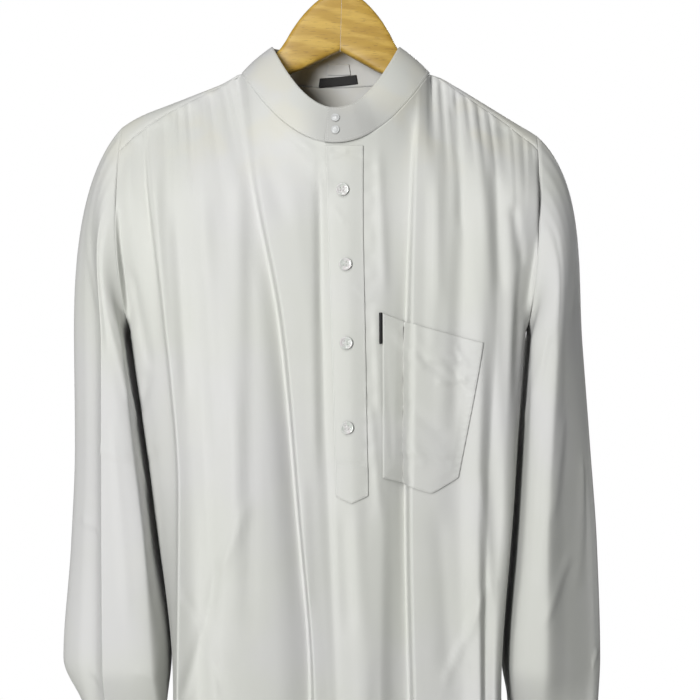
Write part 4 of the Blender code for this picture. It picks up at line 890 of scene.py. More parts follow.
def make_yoke_cloth(finish):
    """The yoke on the front's fine columns outside the neck, and even steps round the neck."""
    left, right = NECK_X - BASE_RING["half"], NECK_X + BASE_RING["half"]
    seam_x = top_x(FRONT_FOLDS, fine_columns(FRONT_FOLDS, FRONT_FINER))
    neck_turns = np.radians(np.linspace(-90, 90, FINE_NECK_COLUMNS))
    neck_x = NECK_X + BASE_RING["half"] * np.sin(neck_turns)
    x = np.concatenate([seam_x[seam_x < left - 1], neck_x, seam_x[seam_x > right + 1]])
    grid_x, part = np.meshgrid(x, np.linspace(0, 1, FINE_YOKE_ROWS), indexing="ij")
    _, drop = yoke_point(grid_x, part)
    grid_x[0] = armhole("left", drop[0])[0] + SEAM / 2
    grid_x[-1] = armhole("right", drop[-1])[0] - SEAM / 2
    y, drop = yoke_point(grid_x, part)
    points = np.stack([grid_x, y, -drop], 2)
    beside = np.exp(-((np.abs(grid_x - NECK_X) - BASE_RING["half"]) / 14) ** 2)
    beside = (beside * np.clip(part / 0.2, 0, 1) * np.clip((1 - part) / 0.1, 0, 1))[1:-1, :, None]
    for _ in range(YOKE_ROUNDS):
        points[1:-1] += 0.5 * beside * ((points[:-2] + points[2:]) / 2 - points[1:-1])
    normal = outward_normals(points, False, (0, 1, 0.3))
    lift = crease(grid_x, drop * np.sign(y), YOKE_CREASES)
    run = column_runs(points)
    beside_neck = np.abs(grid_x - NECK_X) > BASE_RING["half"]
    lift = lift - SEAM_GROOVE * np.exp(-(run / SEAM_WIDTH) ** 2) * beside_neck
    lift = lift - SEAM_GROOVE * np.exp(-((run[:, -1:] - run) / SEAM_WIDTH) ** 2)
    lift[[0, -1]] = 0
    points = points + normal * lift[..., None]
    return dressed("yoke_cloth", points, normal, CLOTH, finish)


def sleeve_turns_fine(table, between):
    """Turns of a sleeve's fine columns: each of its lines, with even steps between them."""
    marks = np.array([row[1] for row in table] + [360.0])
    return np.concatenate([np.linspace(a, b, between + 1)[:-1] for a, b in zip(marks[:-1], marks[1:])])


def sleeve_shape(side, table, creases):
    """A sleeve's fine grid: the solid's lines, with the cap's gathers and creases moved along normals.
    Creases are given by the way round, DEGREE_WIDE to the degree, and drop."""
    turns = sleeve_turns_fine(table, SLEEVE_FINER)
    points = sleeve_points(side, table, turns, FINE_CAP_ROWS, FINE_SLEEVE_ROWS)
    middle = points.mean(0)[SLEEVE_MIDDLE]
    c = int(np.argmin(np.abs(turns - 90)))
    normal = surface_normals(points, True)
    normal *= np.sign(np.dot(normal[c, SLEEVE_MIDDLE], points[c, SLEEVE_MIDDLE] - middle))
    turn = np.broadcast_to(turns[:, None], points.shape[:2])
    rows = np.broadcast_to(np.arange(points.shape[1])[None, :], points.shape[:2])
    cap = np.sin(np.radians(turn) * 26 + 1.3 * np.sin(np.radians(turn) * 5)) * np.exp(-rows / 7.0)
    cap = cap * (1 - np.exp(-rows / 1.5)) * np.clip(np.cos(np.radians(turn)) + 0.25, 0, 1)
    fade = np.clip(rows / 8.0, 0, 1) * np.clip((points.shape[1] - 1 - rows) / 6.0, 0, 1)
    lift = 0.55 * cap + crease(turn * DEGREE_WIDE, -points[..., 2], creases) * fade
    return points + normal * lift[..., None], normal


def make_sleeve_cloth(side, table, creases, finish):
    """A sleeve, closed round, from its armhole to its cuff."""
    points, normal = sleeve_shape(side, table, creases)
    return dressed(f"sleeve_{side}_cloth", points, normal, CLOTH, finish, closed=True)


def make_cuff_cloth(side, table, finish):
    """A stiff cuff: the sleeve's last ring drawn in a little, and more towards its mouth."""
    turns = sleeve_turns_fine(table, CUFF_FINER)
    top = sleeve_ring(table, turns, np.array([SLEEVE_DROPS[-1]]))[:, 0]
    centre = top.mean(0)
    part = np.linspace(0, 1, FINE_CUFF_ROWS)
    shrink = np.interp(part, np.linspace(0, 1, len(CUFF_SHRINK)), CUFF_SHRINK)
    points = centre + (top - centre)[:, None, :] * shrink[None, :, None]
    points[:, :, 2] = -(SLEEVE_DROPS[-1] + SEAM + part * CUFF_HEIGHT)[None, :]
    normal = surface_normals(points, True)
    middle = FINE_CUFF_ROWS // 2
    normal *= np.sign(np.sum(normal[:, middle] * (points - centre)[:, middle]))
    return dressed(f"cuff_{side}_cloth", points, normal, CUFF_WALL, finish, closed=True)


def collar_heights(turn, height):
    """The collar's height with its rounded lap corner and the space above its seam."""
    along = np.clip(np.radians(turn - COLLAR_START_TURN) * TOP_RING["half"], 0, LAP_CORNER)
    short = LAP_CORNER - np.sqrt(LAP_CORNER ** 2 - (LAP_CORNER - along) ** 2)
    return height * (1 - short / COLLAR_TALL) + COLLAR_START * (1 - height)


def make_collar_cloth(finish):
    """The collar's band with its lap, a faint wave along its seam."""
    corner = COLLAR_START_TURN + 8 * np.linspace(0, 1, FINE_CORNER_COLUMNS) ** 1.6
    turn = np.concatenate([corner, np.linspace(3, COLLAR_UNDER_TURN, FINE_COLLAR_COLUMNS)])
    grid_turn, height = np.meshgrid(turn, np.linspace(0, 1, FINE_COLLAR_ROWS), indexing="ij")
    points = collar_point(grid_turn, collar_heights(grid_turn, height))
    normal = outward_normals(points, False, (0, 1, 0))
    wave = 0.25 * np.sin(np.radians(grid_turn) * 21) * (1 - height) ** 3
    points = points + normal * wave[..., None]
    return dressed("collar_cloth", points, normal, BAND, finish)


def front_u(x, drop):
    """The place between fold lines where the front passes x, found by halving, as arrays."""
    low, high = np.zeros_like(x), np.full_like(x, len(FRONT_FOLDS) - 1.0)
    for _ in range(HALVINGS):
        middle = (low + high) / 2
        at, _ = front_place(middle.ravel(), drop.ravel())
        left = at.reshape(x.shape) < x
        low, high = np.where(left, middle, low), np.where(left, high, middle)
    return (low + high) / 2


def patch_on_front(x, drop, u=None):
    """Points and normals of the front under a patch's grid."""
    if u is None:
        u = front_u(x, drop)
    at, out = front_place(u.ravel(), drop.ravel())
    points = np.stack([at.reshape(drop.shape), -out.reshape(drop.shape), -drop], 2)
    return points, outward_normals(points, False, (0, -1, 0))


def make_placket_cloth(finish):
    """The strip between two fold lines, with small creases of its own and a pointed foot."""
    across, down = FINE_PLACKET
    u = np.linspace(*PLACKET_LINES, across)
    side = 1 - np.abs(np.linspace(-1, 1, across))
    end = PLACKET_SHOULDER + (PLACKET_TIP - PLACKET_SHOULDER) * side
    part = np.linspace(0, 1, down)
    drops = PLACKET_TOP + (end[:, None] - PLACKET_TOP) * part
    u_grid = np.broadcast_to(u[:, None], drops.shape)
    points, normal = patch_on_front(None, drops, u_grid)
    rise = LIFT + PATCH + crease(points[..., 0], drops, PLACKET_CREASES)
    points = points + normal * rise[..., None]
    normal = outward_normals(points, False, (0, -1, 0))
    return dressed("placket_cloth", points, normal, PATCH, finish)


def unit_grid(across, down):
    """Places across and down a grid, each from 0 to 1."""
    return np.meshgrid(np.linspace(0, 1, across), np.linspace(0, 1, down), indexing="ij")


def pocket_grid(across, down):
    """x and drop of the pocket's grid between its slanting top, pointed foot and slanting side."""
    s, t = unit_grid(across, down)
    drop = POCKET_TOP_LEFT[1] + (POCKET_LOW_LEFT[1] - POCKET_TOP_LEFT[1]) * t
    for _ in range(POCKET_ROUNDS):
        x = POCKET_TOP_LEFT[0] + (pocket_right(drop) - POCKET_TOP_LEFT[0]) * s
        top, foot = pocket_edges(x)
        drop = top + (foot - top) * t
    return x, drop


def make_pocket_cloth(finish):
    """The chest patch: the front under it moved out, with its own soft wrinkles and drawn-in stitching."""
    x, drop = pocket_grid(*FINE_POCKET)
    points, _ = patch_on_front(x, drop)
    for _ in range(BRIDGE_ROUNDS):
        points[1:-1] = (points[:-2] + 2 * points[1:-1] + points[2:]) / 4
    normal = outward_normals(points, False, (0, -1, 0))
    across, down = points.shape[:2]
    s, t = unit_grid(across, down)
    inside = np.clip(np.minimum(np.minimum(s, 1 - s) * across, (1 - t) * down) / 9.0, 0, 1)
    swell = 1.3 * inside * np.clip(t / 0.1, 0.35, 1)
    rise = POCKET_LIFT + PATCH + swell + crease(x, drop, POCKET_CREASES) * np.clip(inside, 0.25, 1)
    pucker = 0.35 * np.sin(drop * 0.75 + 1.3 * np.sin(drop * 0.13)) * np.exp(-((1 - s) * across / 5.0) ** 2)
    points = points + normal * (rise + pucker * (1 - np.clip((0.1 - t) / 0.1, 0, 1)))[..., None]
    normal = outward_normals(points, False, (0, -1, 0))
    return dressed("pocket_cloth", points, normal, PATCH, finish)


def make_tab_ribbon(finish):
    """A folded ribbon at the pocket's left edge, with a soft bulge down its middle."""
    right, top = POCKET_TOP_LEFT[0] - TAB_SPACE, POCKET_TOP_LEFT[1]
    across, down = FINE_TAB
    x, drop = np.meshgrid(np.linspace(right - TAB_SHOWS, right, across),
                          np.linspace(top, top + TAB_TALL, down), indexing="ij")
    points, normal = patch_on_front(x, drop)
    bulge = TAB_THICK + 0.4 * np.sin(math.pi * np.linspace(0, 1, across))[:, None]
    points = points + normal * (POCKET_LIFT + bulge)[..., None]
    return shell("pocket_tab_ribbon", points, normal, TAB_THICK, False, finish)


def make_label(row, finish):
    """A label on the collar's inner side: the collar's points moved in, its ends a little lifted."""
    name, turn_from, turn_to, height_from, height_to, skew, thick = row
    s, t = unit_grid(*FINE_LABEL)
    turn = turn_from + (turn_to - turn_from) * s
    height = height_from + (height_to - height_from) * t + skew * (2 * s - 1)
    points = collar_point(turn, height)
    normal = outward_normals(points, False, (0, -1, 0))
    lift = BAND + LABEL_LIFT + 0.25 * np.abs(2 * s - 1) ** 6
    near = points + normal * (lift + thick)[..., None]
    return shell(name + "_ribbon", near, normal, thick, False, finish)


def turned(name, centre, facing, radii, heights, finish, slot_name, segments=64, pits=None):
    """A round piece: rings of the given radii and heights about the way that it faces. pits, if given,
    changes the heights by a function of each point's place across the face."""
    side = np.cross(facing, (0.0, 0.0, 1.0))
    side /= np.linalg.norm(side)
    up = np.cross(side, facing)
    angle = np.linspace(0, 2 * math.pi, segments, endpoint=False)
    radii, heights = np.asarray(radii, float), np.asarray(heights, float)
    a = radii[None, :] * np.cos(angle)[:, None]
    b = radii[None, :] * np.sin(angle)[:, None]
    h = np.broadcast_to(heights[None, :], a.shape)
    if pits is not None:
        h = h + pits(a, b, h)
    points = centre + a[..., None] * side + b[..., None] * up + h[..., None] * facing
    return closed_piece(name, *closed_tube(points), finish, slot_name)


def closed_tube(points):
    """Vertices and faces of a tube of rings, each of its ends closed on the ring's middle."""
    across, down = points.shape[:2]
    verts = np.concatenate([points.reshape(-1, 3), [points[:, 0].mean(0)], [points[:, -1].mean(0)]])
    first = np.arange(across) * down
    after = np.roll(first, -1)
    faces = grid_faces(across, down, True).tolist()
    faces += np.stack([first, after, np.full(across, len(verts) - 2)], 1).tolist()
    faces += np.stack([after + down - 1, first + down - 1, np.full(across, len(verts) - 1)], 1).tolist()
    return verts, faces


def button_pits(a, b, h):
    """How much four round holes lower a button's face."""
    on_face = np.clip((h - 1.2) / 0.3, 0, 1)
    total = np.zeros_like(a)
    for x, z in ((1, 1), (1, -1), (-1, 1), (-1, -1)):
        away = np.hypot(a - x * HOLE_PLACE, b - z * HOLE_PLACE)
        total = total - 1.1 * np.clip((HOLE_RADIUS - away) / 0.25, 0, 1)
    return total * on_face


def make_button(number, x, drop, placket, finish):
    """A turned button over the placket: a rounded rim, a dished face and four holes."""
    points = placket.reshape(-1, 3)
    near = points[np.hypot(points[:, 0] - x, points[:, 2] + drop) < BUTTON_RADIUS]
    seat = np.array([x, near[:, 1].min() - BUTTON_SPACE, -drop])
    rim = np.linspace(0, math.pi, 13)
    radii = np.concatenate([[0.3, 3.0, 5.2], 6.15 + 0.65 * np.sin(rim), [4.9, 4.5],
                            np.linspace(4.1, 0.2, 30)])
    heights = np.concatenate([[0, 0, 0], 1.15 - 1.15 * np.cos(rim), [2.0, 1.75], np.full(30, 1.6)])
    return turned(f"button_{number}_pearl", seat, np.array([0.0, -1.0, 0.0]), radii, heights, finish,
                  "pearl_button", 72, button_pits)


def make_stud(number, drop, finish):
    """A press stud's flat cap with a ring near its edge."""
    base_drop, top_drop = ring_point(BASE_RING, 0.0)[2], ring_point(TOP_RING, 0.0)[2]
    height = (base_drop - drop) / (base_drop - top_drop)
    around = collar_point(np.array([0.0, 4.0, 0.0]), np.array([height, height, height + 0.05]))
    facing = np.cross(around[1] - around[0], around[2] - around[0])
    facing *= -np.sign(facing[1]) / np.linalg.norm(facing)
    radii = (0.2, 3.0, 4.3, 4.5, 4.5, 4.35, 4.0, 3.75, 3.6, 3.45, 3.3, 3.0, 1.5, 0.2)
    heights = (0, 0, 0, 0.1, 0.55, 0.8, 0.95, 0.9, 0.65, 0.62, 0.7, 0.85, 0.9, 0.9)
    return turned(f"stud_{number}_cap", around[0] + facing * STUD_LIFT, facing, radii, heights, finish,
                  "white_stud")


def make_hanger_wood(side, way, finish):
    """One arm: rounded sections swept from the joint to the tip, its places read from the sections."""
    table = np.array(HANGER_SECTIONS, float)
    away = np.concatenate([np.linspace(0.15, 60, 46), np.linspace(62, 206.2, 90), np.linspace(206.6, 208, 5)])
    top, bottom, half = (smooth_through(table[:, 0], table[:, k], away) for k in (1, 2, 3))
    angle = np.linspace(0, 2 * math.pi, HANGER_SIDES, endpoint=False)
    power = 0.42
    across = np.sign(np.cos(angle)) * np.abs(np.cos(angle)) ** power
    along = np.sign(np.sin(angle)) * np.abs(np.sin(angle)) ** power
    y = half[None, :] * across[:, None]
    drop = ((top + bottom) / 2)[None, :] - ((bottom - top) / 2)[None, :] * along[:, None]
    x = np.broadcast_to(way * away[None, :], y.shape)
    points = np.stack(tilt((x, y, -drop)), 2)
    thing = closed_piece(f"hanger_{side}_wood", *closed_tube(points), finish, "hanger_wood")
    thing.data.set_sharp_from_angle(angle=math.radians(50))
    return thing


def closed_piece(name, verts, faces, finish, slot_name):
    """A mesh whose faces are turned outwards."""
    mesh = bpy.data.meshes.new(name)
    mesh.from_pydata((np.asarray(verts) * MM).tolist(), [], faces)
    mesh_data = bmesh.new()
    mesh_data.from_mesh(mesh)
    bmesh.ops.recalc_face_normals(mesh_data, faces=mesh_data.faces)
    mesh_data.to_mesh(mesh)
    mesh_data.free()
    return place_piece(mesh, finish)


def make_hook_wire(finish):
    """The hook's wire: a round profile carried along the stem and the arc, with a rounded end."""
    radius = HOOK_INSIDE + HOOK_WIRE
    foot = HOOK_SPACE - HANGER_SECTIONS[0][1]
    arc = np.radians(np.linspace(*HOOK_ARC, HOOK_STEPS))
    marks = np.array([(x, foot + rise) for x, rise in HOOK_STEM]
                     + [(radius * math.cos(a), -HOOK_INSIDE + radius * math.sin(a)) for a in arc])
    lengths = np.concatenate([[0], np.cumsum(np.hypot(*np.diff(marks, axis=0).T))])
    at = np.linspace(0, lengths[-1], HOOK_ROWS)
    path = smooth_through(lengths, marks, at)
    heading = np.gradient(path, axis=0)
    heading /= np.linalg.norm(heading, axis=1, keepdims=True)
    side = np.stack([heading[:, 1], -heading[:, 0]], 1)
    left = lengths[-1] - at
    wire = HOOK_WIRE * np.sqrt(np.clip(1 - (1 - np.clip(left / HOOK_WIRE, 0, 1)) ** 2, 0.02, 1))
    angle = np.linspace(0, 2 * math.pi, HOOK_SIDES, endpoint=False)
    x = path[None, :, 0] + wire * side[None, :, 0] * np.cos(angle)[:, None]
    z = path[None, :, 1] + wire * side[None, :, 1] * np.cos(angle)[:, None]
    y = np.broadcast_to(wire * np.sin(angle)[:, None], x.shape)
    points = np.stack([x, y, z], 2)
    return closed_piece("hook_wire", *closed_tube(points), finish, "hook_steel")


def inset_line(grids, edge, distance):
    """The line at a distance in from one edge of a grid of points, with its normals."""
    points, normal = grids
    if edge in ("left", "right"):
        points, normal = points.transpose(1, 0, 2), normal.transpose(1, 0, 2)
    if edge in ("right", "foot"):
        points, normal = points[:, ::-1], normal[:, ::-1]
    return crossing_line(points, normal, column_runs(points), distance)


def level_line(grids, drop):
    """The line at a drop across a grid of points, with its normals."""
    points, normal = grids
    return crossing_line(points, normal, -points[:, :, 2], drop)


def crossing_line(points, normal, runs, value):
    """Where each column's run passes a value: the points there and their normals."""
    route = [[np.interp(value, run, line[:, k]) for k in range(3)] for run, line in zip(runs, points)]
    ways = [[np.interp(value, run, line[:, k]) for k in range(3)] for run, line in zip(runs, normal)]
    return np.array(route), np.array(ways)


def upright_line(grids, x, drop_from, drop_to):
    """A short upright line on a grid at x, with its normals."""
    route, ways = [], []
    for drop in np.linspace(drop_from, drop_to, 12):
        level, away = level_line(grids, drop)
        route.append([np.interp(x, level[:, 0], level[:, k]) for k in range(3)])
        ways.append([np.interp(x, level[:, 0], away[:, k]) for k in range(3)])
    return np.array(route), np.array(ways)


def stitch_line(route, normals, pitch, length, width, rise):
    """Stitches along a line on the cloth: one small bar each, at even steps along the line."""
    lengths = np.concatenate([[0], np.cumsum(np.linalg.norm(np.diff(route, axis=0), axis=1))])
    starts = np.arange(pitch / 2, lengths[-1] - length, pitch)
    if len(starts) == 0:
        return np.zeros((0, 3)), np.zeros((0, 4), int)
    rails = []
    for step, wide, high in ((0.0, 0.2, 0.0), (0.25, 1.0, 0.8), (0.75, 1.0, 0.8), (1.0, 0.2, 0.0)):
        at = starts + length * step
        centre = np.stack([np.interp(at, lengths, route[:, k]) for k in range(3)], 1)
        up = np.stack([np.interp(at, lengths, normals[:, k]) for k in range(3)], 1)
        up /= np.linalg.norm(up, axis=1, keepdims=True)
        ahead = np.stack([np.interp(at + 0.5, lengths, route[:, k]) for k in range(3)], 1) - centre
        ahead = ahead + np.stack([np.zeros(len(at)), np.zeros(len(at)), np.full(len(at), 1e-6)], 1)
        across = np.cross(up, ahead)
        across /= np.maximum(np.linalg.norm(across, axis=1, keepdims=True), 1e-9)
        low = centre - up * 0.05
        rails.append(np.stack([low - across * width / 2 * wide, centre + up * rise * (high + 0.1),
                               low + across * width / 2 * wide], 1))
    verts = np.concatenate(rails, 1)
    index = np.arange(len(starts))[:, None] * STITCH_VERTS
    faces = []
    for k in range(3):
        a, b = 3 * k, 3 * k + 3
        faces += [(a, a + 1, b + 1, b), (a + 1, a + 2, b + 2, b + 1), (a + 2, a, b, b + 2)]
    faces = np.array(faces)
    quads = (index[:, :, None] + faces[None]).reshape(-1, 4)
    return verts.reshape(-1, 3), quads


def make_stitching(name, lines, finish, pitch=2.9, length=2.1, width=0.55, rise=0.32):
    """All the stitches of one piece as one mesh; a small face closes each end of a stitch."""
    verts, faces, start = [], [], 0
    for route, normals in lines:
        points, quads = stitch_line(route, normals, pitch, length, width, rise)
        verts.append(points)
        faces.append(quads + start)
        ends = start + np.arange(0, len(points), STITCH_VERTS)
        for a, b, c in ((0, 2, 1), (9, 10, 11)):
            faces.append(np.stack([ends + a, ends + b, ends + c, ends + c], 1))
        start += len(points)
    faces = [list(dict.fromkeys(row)) for row in np.concatenate(faces).tolist()]
    return closed_piece(name, np.concatenate(verts), faces, finish, "white_cloth")


class Value:
    """One output of a node; the usual operators on it add Math nodes."""

    def __init__(self, look, socket):
        self.look = look
        self.socket = socket

    def __add__(self, other):
        return self.look.math("ADD", self, other)

    def __sub__(self, other):
        return self.look.math("SUBTRACT", self, other)

    def __rsub__(self, other):
        return self.look.math("SUBTRACT", other, self)

    def __mul__(self, other):
        return self.look.math("MULTIPLY", self, other)

    __radd__ = __add__
    __rmul__ = __mul__


class Look:
    """A material in the making: its nodes, and short ways to add the ones used here."""

    def __init__(self, name, **sockets):
        self.material = bpy.data.materials.new(name)
        self.material.use_nodes = True
        self.tree = self.material.node_tree
        self.shader = self.tree.nodes["Principled BSDF"]
        for key, value in sockets.items():
            self.feed(self.shader.inputs[key.replace("_", " ")], value)

    def feed(self, socket, value):
        """Links an output to a socket, or sets its number or colour."""
        if isinstance(value, Value):
            self.tree.links.new(value.socket, socket)
        elif socket.type == "RGBA" and len(value) == 3:
            socket.default_value = (*value, 1.0)
        else:
            socket.default_value = value

    def node(self, kind, settings=(), inputs=(), output=0):
        """Adds any node: its settings are set first, then its inputs by name or number."""
        made = self.tree.nodes.new(kind)
        for key, value in dict(settings).items():
            setattr(made, key, value)
        for key, value in dict(inputs).items():
            self.feed(made.inputs[key], value)
        return Value(self, made.outputs[output])

    def math(self, operation, a, b):
        return self.node("ShaderNodeMath", {"operation": operation}, {0: a, 1: b})

    def clamp(self, value, low, high):
        """A value mapped from low to high onto 0 to 1, and kept there."""
        return self.node("ShaderNodeMapRange", {"interpolation_type": "SMOOTHSTEP"},
                         {"Value": value, "From Min": low, "From Max": high})

    def mix(self, part, one, two):
        """A colour between two, by a part from 0 to 1."""
        return self.node("ShaderNodeMix", {"data_type": "RGBA"}, {0: part, 6: one, 7: two}, 2)

    def place(self):
        return self.node("ShaderNodeTexCoord", output=3)

    def cloth_place(self):
        return self.node("ShaderNodeUVMap", {"uv_map": "cloth"})

    def scaled(self, vector, scale):
        return self.node("ShaderNodeMapping", (), {"Vector": vector, "Scale": scale})

    def noise(self, vector, scale, detail=2.0, rough=0.5):
        return self.node("ShaderNodeTexNoise", (), {"Vector": vector, "Scale": scale, "Detail": detail,
                                                    "Roughness": rough})

    def wave(self, vector, direction, scale):
        return self.node("ShaderNodeTexWave", {"bands_direction": direction},
                         {"Vector": vector, "Scale": scale}, 1)

    def bump(self, height, strength, distance):
        """Feeds a height to the shader's normal."""
        normal = self.node("ShaderNodeBump", (), {"Height": height, "Strength": strength,
                                                  "Distance": distance})
        self.feed(self.shader.inputs["Normal"], normal)


def split(look, vector):
    """The three numbers of a vector."""
    made = look.tree.nodes.new("ShaderNodeSeparateXYZ")
    look.feed(made.inputs[0], vector)
    return [Value(look, made.outputs[k]) for k in range(3)]


def white_cloth(name, crisp=0.0, shade_front=False):
    """Fine plain weave in white: crossed threads by the cloth's own map, slubs, and faint tints that
    drift over the cloth; a little yellow painted in patches round the shoulders, standing in for warm
    light from above. A piece given the front shade gets painted shade: a greyer front, where the collar's
    front lies in shadow."""
    look = Look(name, Roughness=0.62 - 0.08 * crisp, Sheen_Weight=0.12, Sheen_Roughness=0.5)
    look.shader.inputs["Specular IOR Level"].default_value = 0.35
    place = look.place()
    x, y, z = split(look, place)
    drift = look.clamp(look.noise(place, 5.5, 2.0), 0.38, 0.66)
    patch = look.clamp(look.noise(place, 14.0, 1.0), 0.5, 0.72)
    tint = look.mix(drift, (0.725, 0.735, 0.69), (0.742, 0.742, 0.738))
    tint = look.mix(patch * 0.5, tint, (0.76, 0.763, 0.735))
    # painted light: a little yellow in patches round the shoulders, for warm light falling from above
    painted_warm_light = look.clamp(z, -0.30, -0.205) * look.clamp(look.noise(place, 24.0, 1.0), 0.42, 0.66)
    tint = look.mix(painted_warm_light * 0.7, tint, (0.76, 0.748, 0.66))
    # painted shade: the collar's front is drawn greyer where it lies in shadow
    if shade_front:
        painted_front_shade = look.clamp(y, -0.045, -0.066) * look.clamp(x, -0.055, -0.01)
        tint = look.mix(painted_front_shade * 0.75, tint, (0.50, 0.50, 0.485))
    weave = look.cloth_place()
    across = look.wave(weave, "X", 420.0)
    down = look.wave(weave, "Y", 420.0)
    slub = look.noise(look.scaled(weave, (60.0, 900.0, 1.0)), 1.0, 1.0)
    threads = across * down
    shade = look.mix(threads * 0.10 + slub * 0.05, tint, (0.72, 0.725, 0.715))
    look.feed(look.shader.inputs["Base Color"], shade)
    soft = look.noise(place, 120.0, 3.0, 0.6)
    look.bump(threads * 0.12 + slub * 0.12 + soft * 0.25, 0.16, 0.0008)
    return look.material


def black_ribbon():
    """Black satin ribbon with fine ribs, paler where it is worn."""
    look = Look("black ribbon", Roughness=0.55, Sheen_Weight=0.03)
    weave = look.cloth_place()
    ribs = look.wave(weave, "Y", 900.0)
    wear = look.clamp(look.noise(look.place(), 260.0, 3.0), 0.45, 0.75)
    look.feed(look.shader.inputs["Base Color"], look.mix(ribs * 0.3 + wear * 0.3, (0.004, 0.004, 0.005),
                                                         (0.016, 0.015, 0.014)))
    look.bump(ribs, 0.25, 0.0003)
    return look.material


def pearl_button():
    """Pale shell-like plastic: cloudy white with a faint green and pink drift under a clear gloss."""
    look = Look("pearl button", Roughness=0.22, Coat_Weight=0.6, Coat_Roughness=0.08)
    place = look.place()
    cloud = look.clamp(look.noise(place, 260.0, 4.0, 0.6), 0.35, 0.7)
    hue = look.clamp(look.noise(place, 150.0, 2.0), 0.42, 0.62)
    tint = look.mix(hue, (0.66, 0.70, 0.65), (0.76, 0.71, 0.72))
    look.feed(look.shader.inputs["Base Color"], look.mix(cloud, tint, (0.84, 0.85, 0.83)))
    look.bump(cloud, 0.1, 0.0003)
    return look.material


def white_stud():
    """White enamelled metal, slightly worn in spots."""
    look = Look("white stud", Roughness=0.32, Coat_Weight=0.3)
    place = look.place()
    worn = look.clamp(look.noise(place, 420.0, 3.0), 0.52, 0.7)
    look.feed(look.shader.inputs["Base Color"], look.mix(worn * 0.4, (0.70, 0.715, 0.715), (0.5, 0.5, 0.49)))
    look.bump(worn, 0.1, 0.0002)
    return look.material


def hanger_wood():
    """Varnished pale wood: growth rings stretched along the arms, fine pores, darker streaks."""
    look = Look("hanger wood", Coat_Weight=0.12, Coat_Roughness=0.25)
    place = look.place()
    grain_place = look.scaled(place, (9.0, 60.0, 38.0))
    rings = look.node("ShaderNodeTexWave", {"wave_type": "BANDS", "bands_direction": "DIAGONAL"},
                      {"Vector": grain_place, "Scale": 0.9, "Distortion": 5.0, "Detail": 3.0,
                       "Detail Scale": 1.6}, 1)
    streaks = look.noise(look.scaled(place, (14.0, 160.0, 150.0)), 1.0, 4.0, 0.62)
    pores = look.clamp(look.noise(look.scaled(place, (90.0, 900.0, 900.0)), 1.0, 2.0), 0.60, 0.70)
    colour = look.mix(look.clamp(rings, 0.1, 0.9), (0.56, 0.345, 0.055), (0.70, 0.46, 0.095))
    colour = look.mix(look.clamp(streaks, 0.35, 0.7) * 0.55, colour, (0.44, 0.245, 0.035))
    colour = look.mix(pores * 0.5, colour, (0.22, 0.11, 0.03))
    look.feed(look.shader.inputs["Base Color"], colour)
    look.feed(look.shader.inputs["Roughness"], streaks * 0.15 + 0.34)
    look.bump(streaks * 0.5 - pores * 0.5, 0.12, 0.0006)
    return look.material


def hook_steel():
    """Bright drawn wire with fine marks."""
    look = Look("hook steel", Metallic=1.0)
    place = look.place()
    marks = look.noise(look.scaled(place, (900.0, 300.0, 300.0)), 1.0, 3.0)
    look.feed(look.shader.inputs["Base Color"], look.mix(marks, (0.52, 0.52, 0.53), (0.66, 0.66, 0.66)))
    look.feed(look.shader.inputs["Roughness"], marks * 0.2 + 0.18)
    look.bump(marks, 0.05, 0.0002)
    return look.material


def plain(name, colour, roughness):
    """A plain material with a faint mottle, for the thread and the floor."""
    look = Look(name, Roughness=roughness)
    mottle = look.noise(look.place(), 2.0, 2.0)
    paler = tuple(min(1.0, part * 1.04) for part in colour)
    look.feed(look.shader.inputs["Base Color"], look.mix(mottle, colour, paler))
    return look.material


def area_light(name, place, aim, width, height, power, colour):
    """An oblong soft light at a place, turned towards its aim and unseen by the camera."""
    lamp = bpy.data.lights.new(name, "AREA")
    lamp.shape = "RECTANGLE"
    lamp.size = width
    lamp.size_y = height
    lamp.energy = power
    lamp.color = colour
    thing = bpy.data.objects.new(name, lamp)
    thing.location = place
    thing.rotation_euler = (Vector(aim) - Vector(place)).to_track_quat("-Z", "Y").to_euler()
    thing.visible_camera = False
    bpy.context.scene.collection.objects.link(thing)


def make_camera():
    """Level, looking along +Y, at the height of the chest, with the photograph's narrow view."""
    lens = bpy.data.cameras.new("camera")
    lens.lens = CAMERA_LENS
    lens.sensor_width = 36.0
    thing = bpy.data.objects.new("camera", lens)
    thing.location = CAMERA_PLACE
    thing.rotation_euler = (math.radians(90), 0, 0)
    bpy.context.scene.collection.objects.link(thing)
    bpy.context.scene.camera = thing


def make_stage():
    """A pale floor below the hem, soft lights with the strongest at the front left, a white surround."""
    make_camera()
    mesh = bpy.data.meshes.new("floor")
    mesh.from_pydata([(-1.6, -1.6, FLOOR_HEIGHT), (1.6, -1.6, FLOOR_HEIGHT), (1.6, 1.3, FLOOR_HEIGHT),
                      (-1.6, 1.3, FLOOR_HEIGHT)], [], [(0, 1, 2, 3)])
    mesh.materials.append(plain("floor", (0.82, 0.82, 0.81), 0.7))
    floor = bpy.data.objects.new("floor", mesh)
    bpy.context.scene.collection.objects.link(floor)
    for row in LIGHTS:
        area_light(*row)
    world = bpy.data.worlds.new("surround")
    bpy.context.scene.world = world
    world.use_nodes = True
    tree = world.node_tree
    soft = tree.nodes["Background"]
    soft.inputs[0].default_value = (0.93, 0.96, 1.0, 1.0)
    soft.inputs[1].default_value = WORLD_LIGHT
    white = tree.nodes.new("ShaderNodeBackground")
    white.inputs[0].default_value = (1.0, 1.0, 1.0, 1.0)
    path = tree.nodes.new("ShaderNodeLightPath")
    blend = tree.nodes.new("ShaderNodeMixShader")
    tree.links.new(path.outputs["Is Camera Ray"], blend.inputs[0])
    tree.links.new(soft.outputs[0], blend.inputs[1])
    tree.links.new(white.outputs[0], blend.inputs[2])
    tree.links.new(blend.outputs[0], tree.nodes["World Output"].inputs[0])
    view = bpy.context.scene.view_settings
    view.view_transform = "Standard"
    view.look = "None"
    view.exposure = EXPOSURE
    bpy.context.scene.cycles.diffuse_bounces = DIFFUSE_BOUNCES


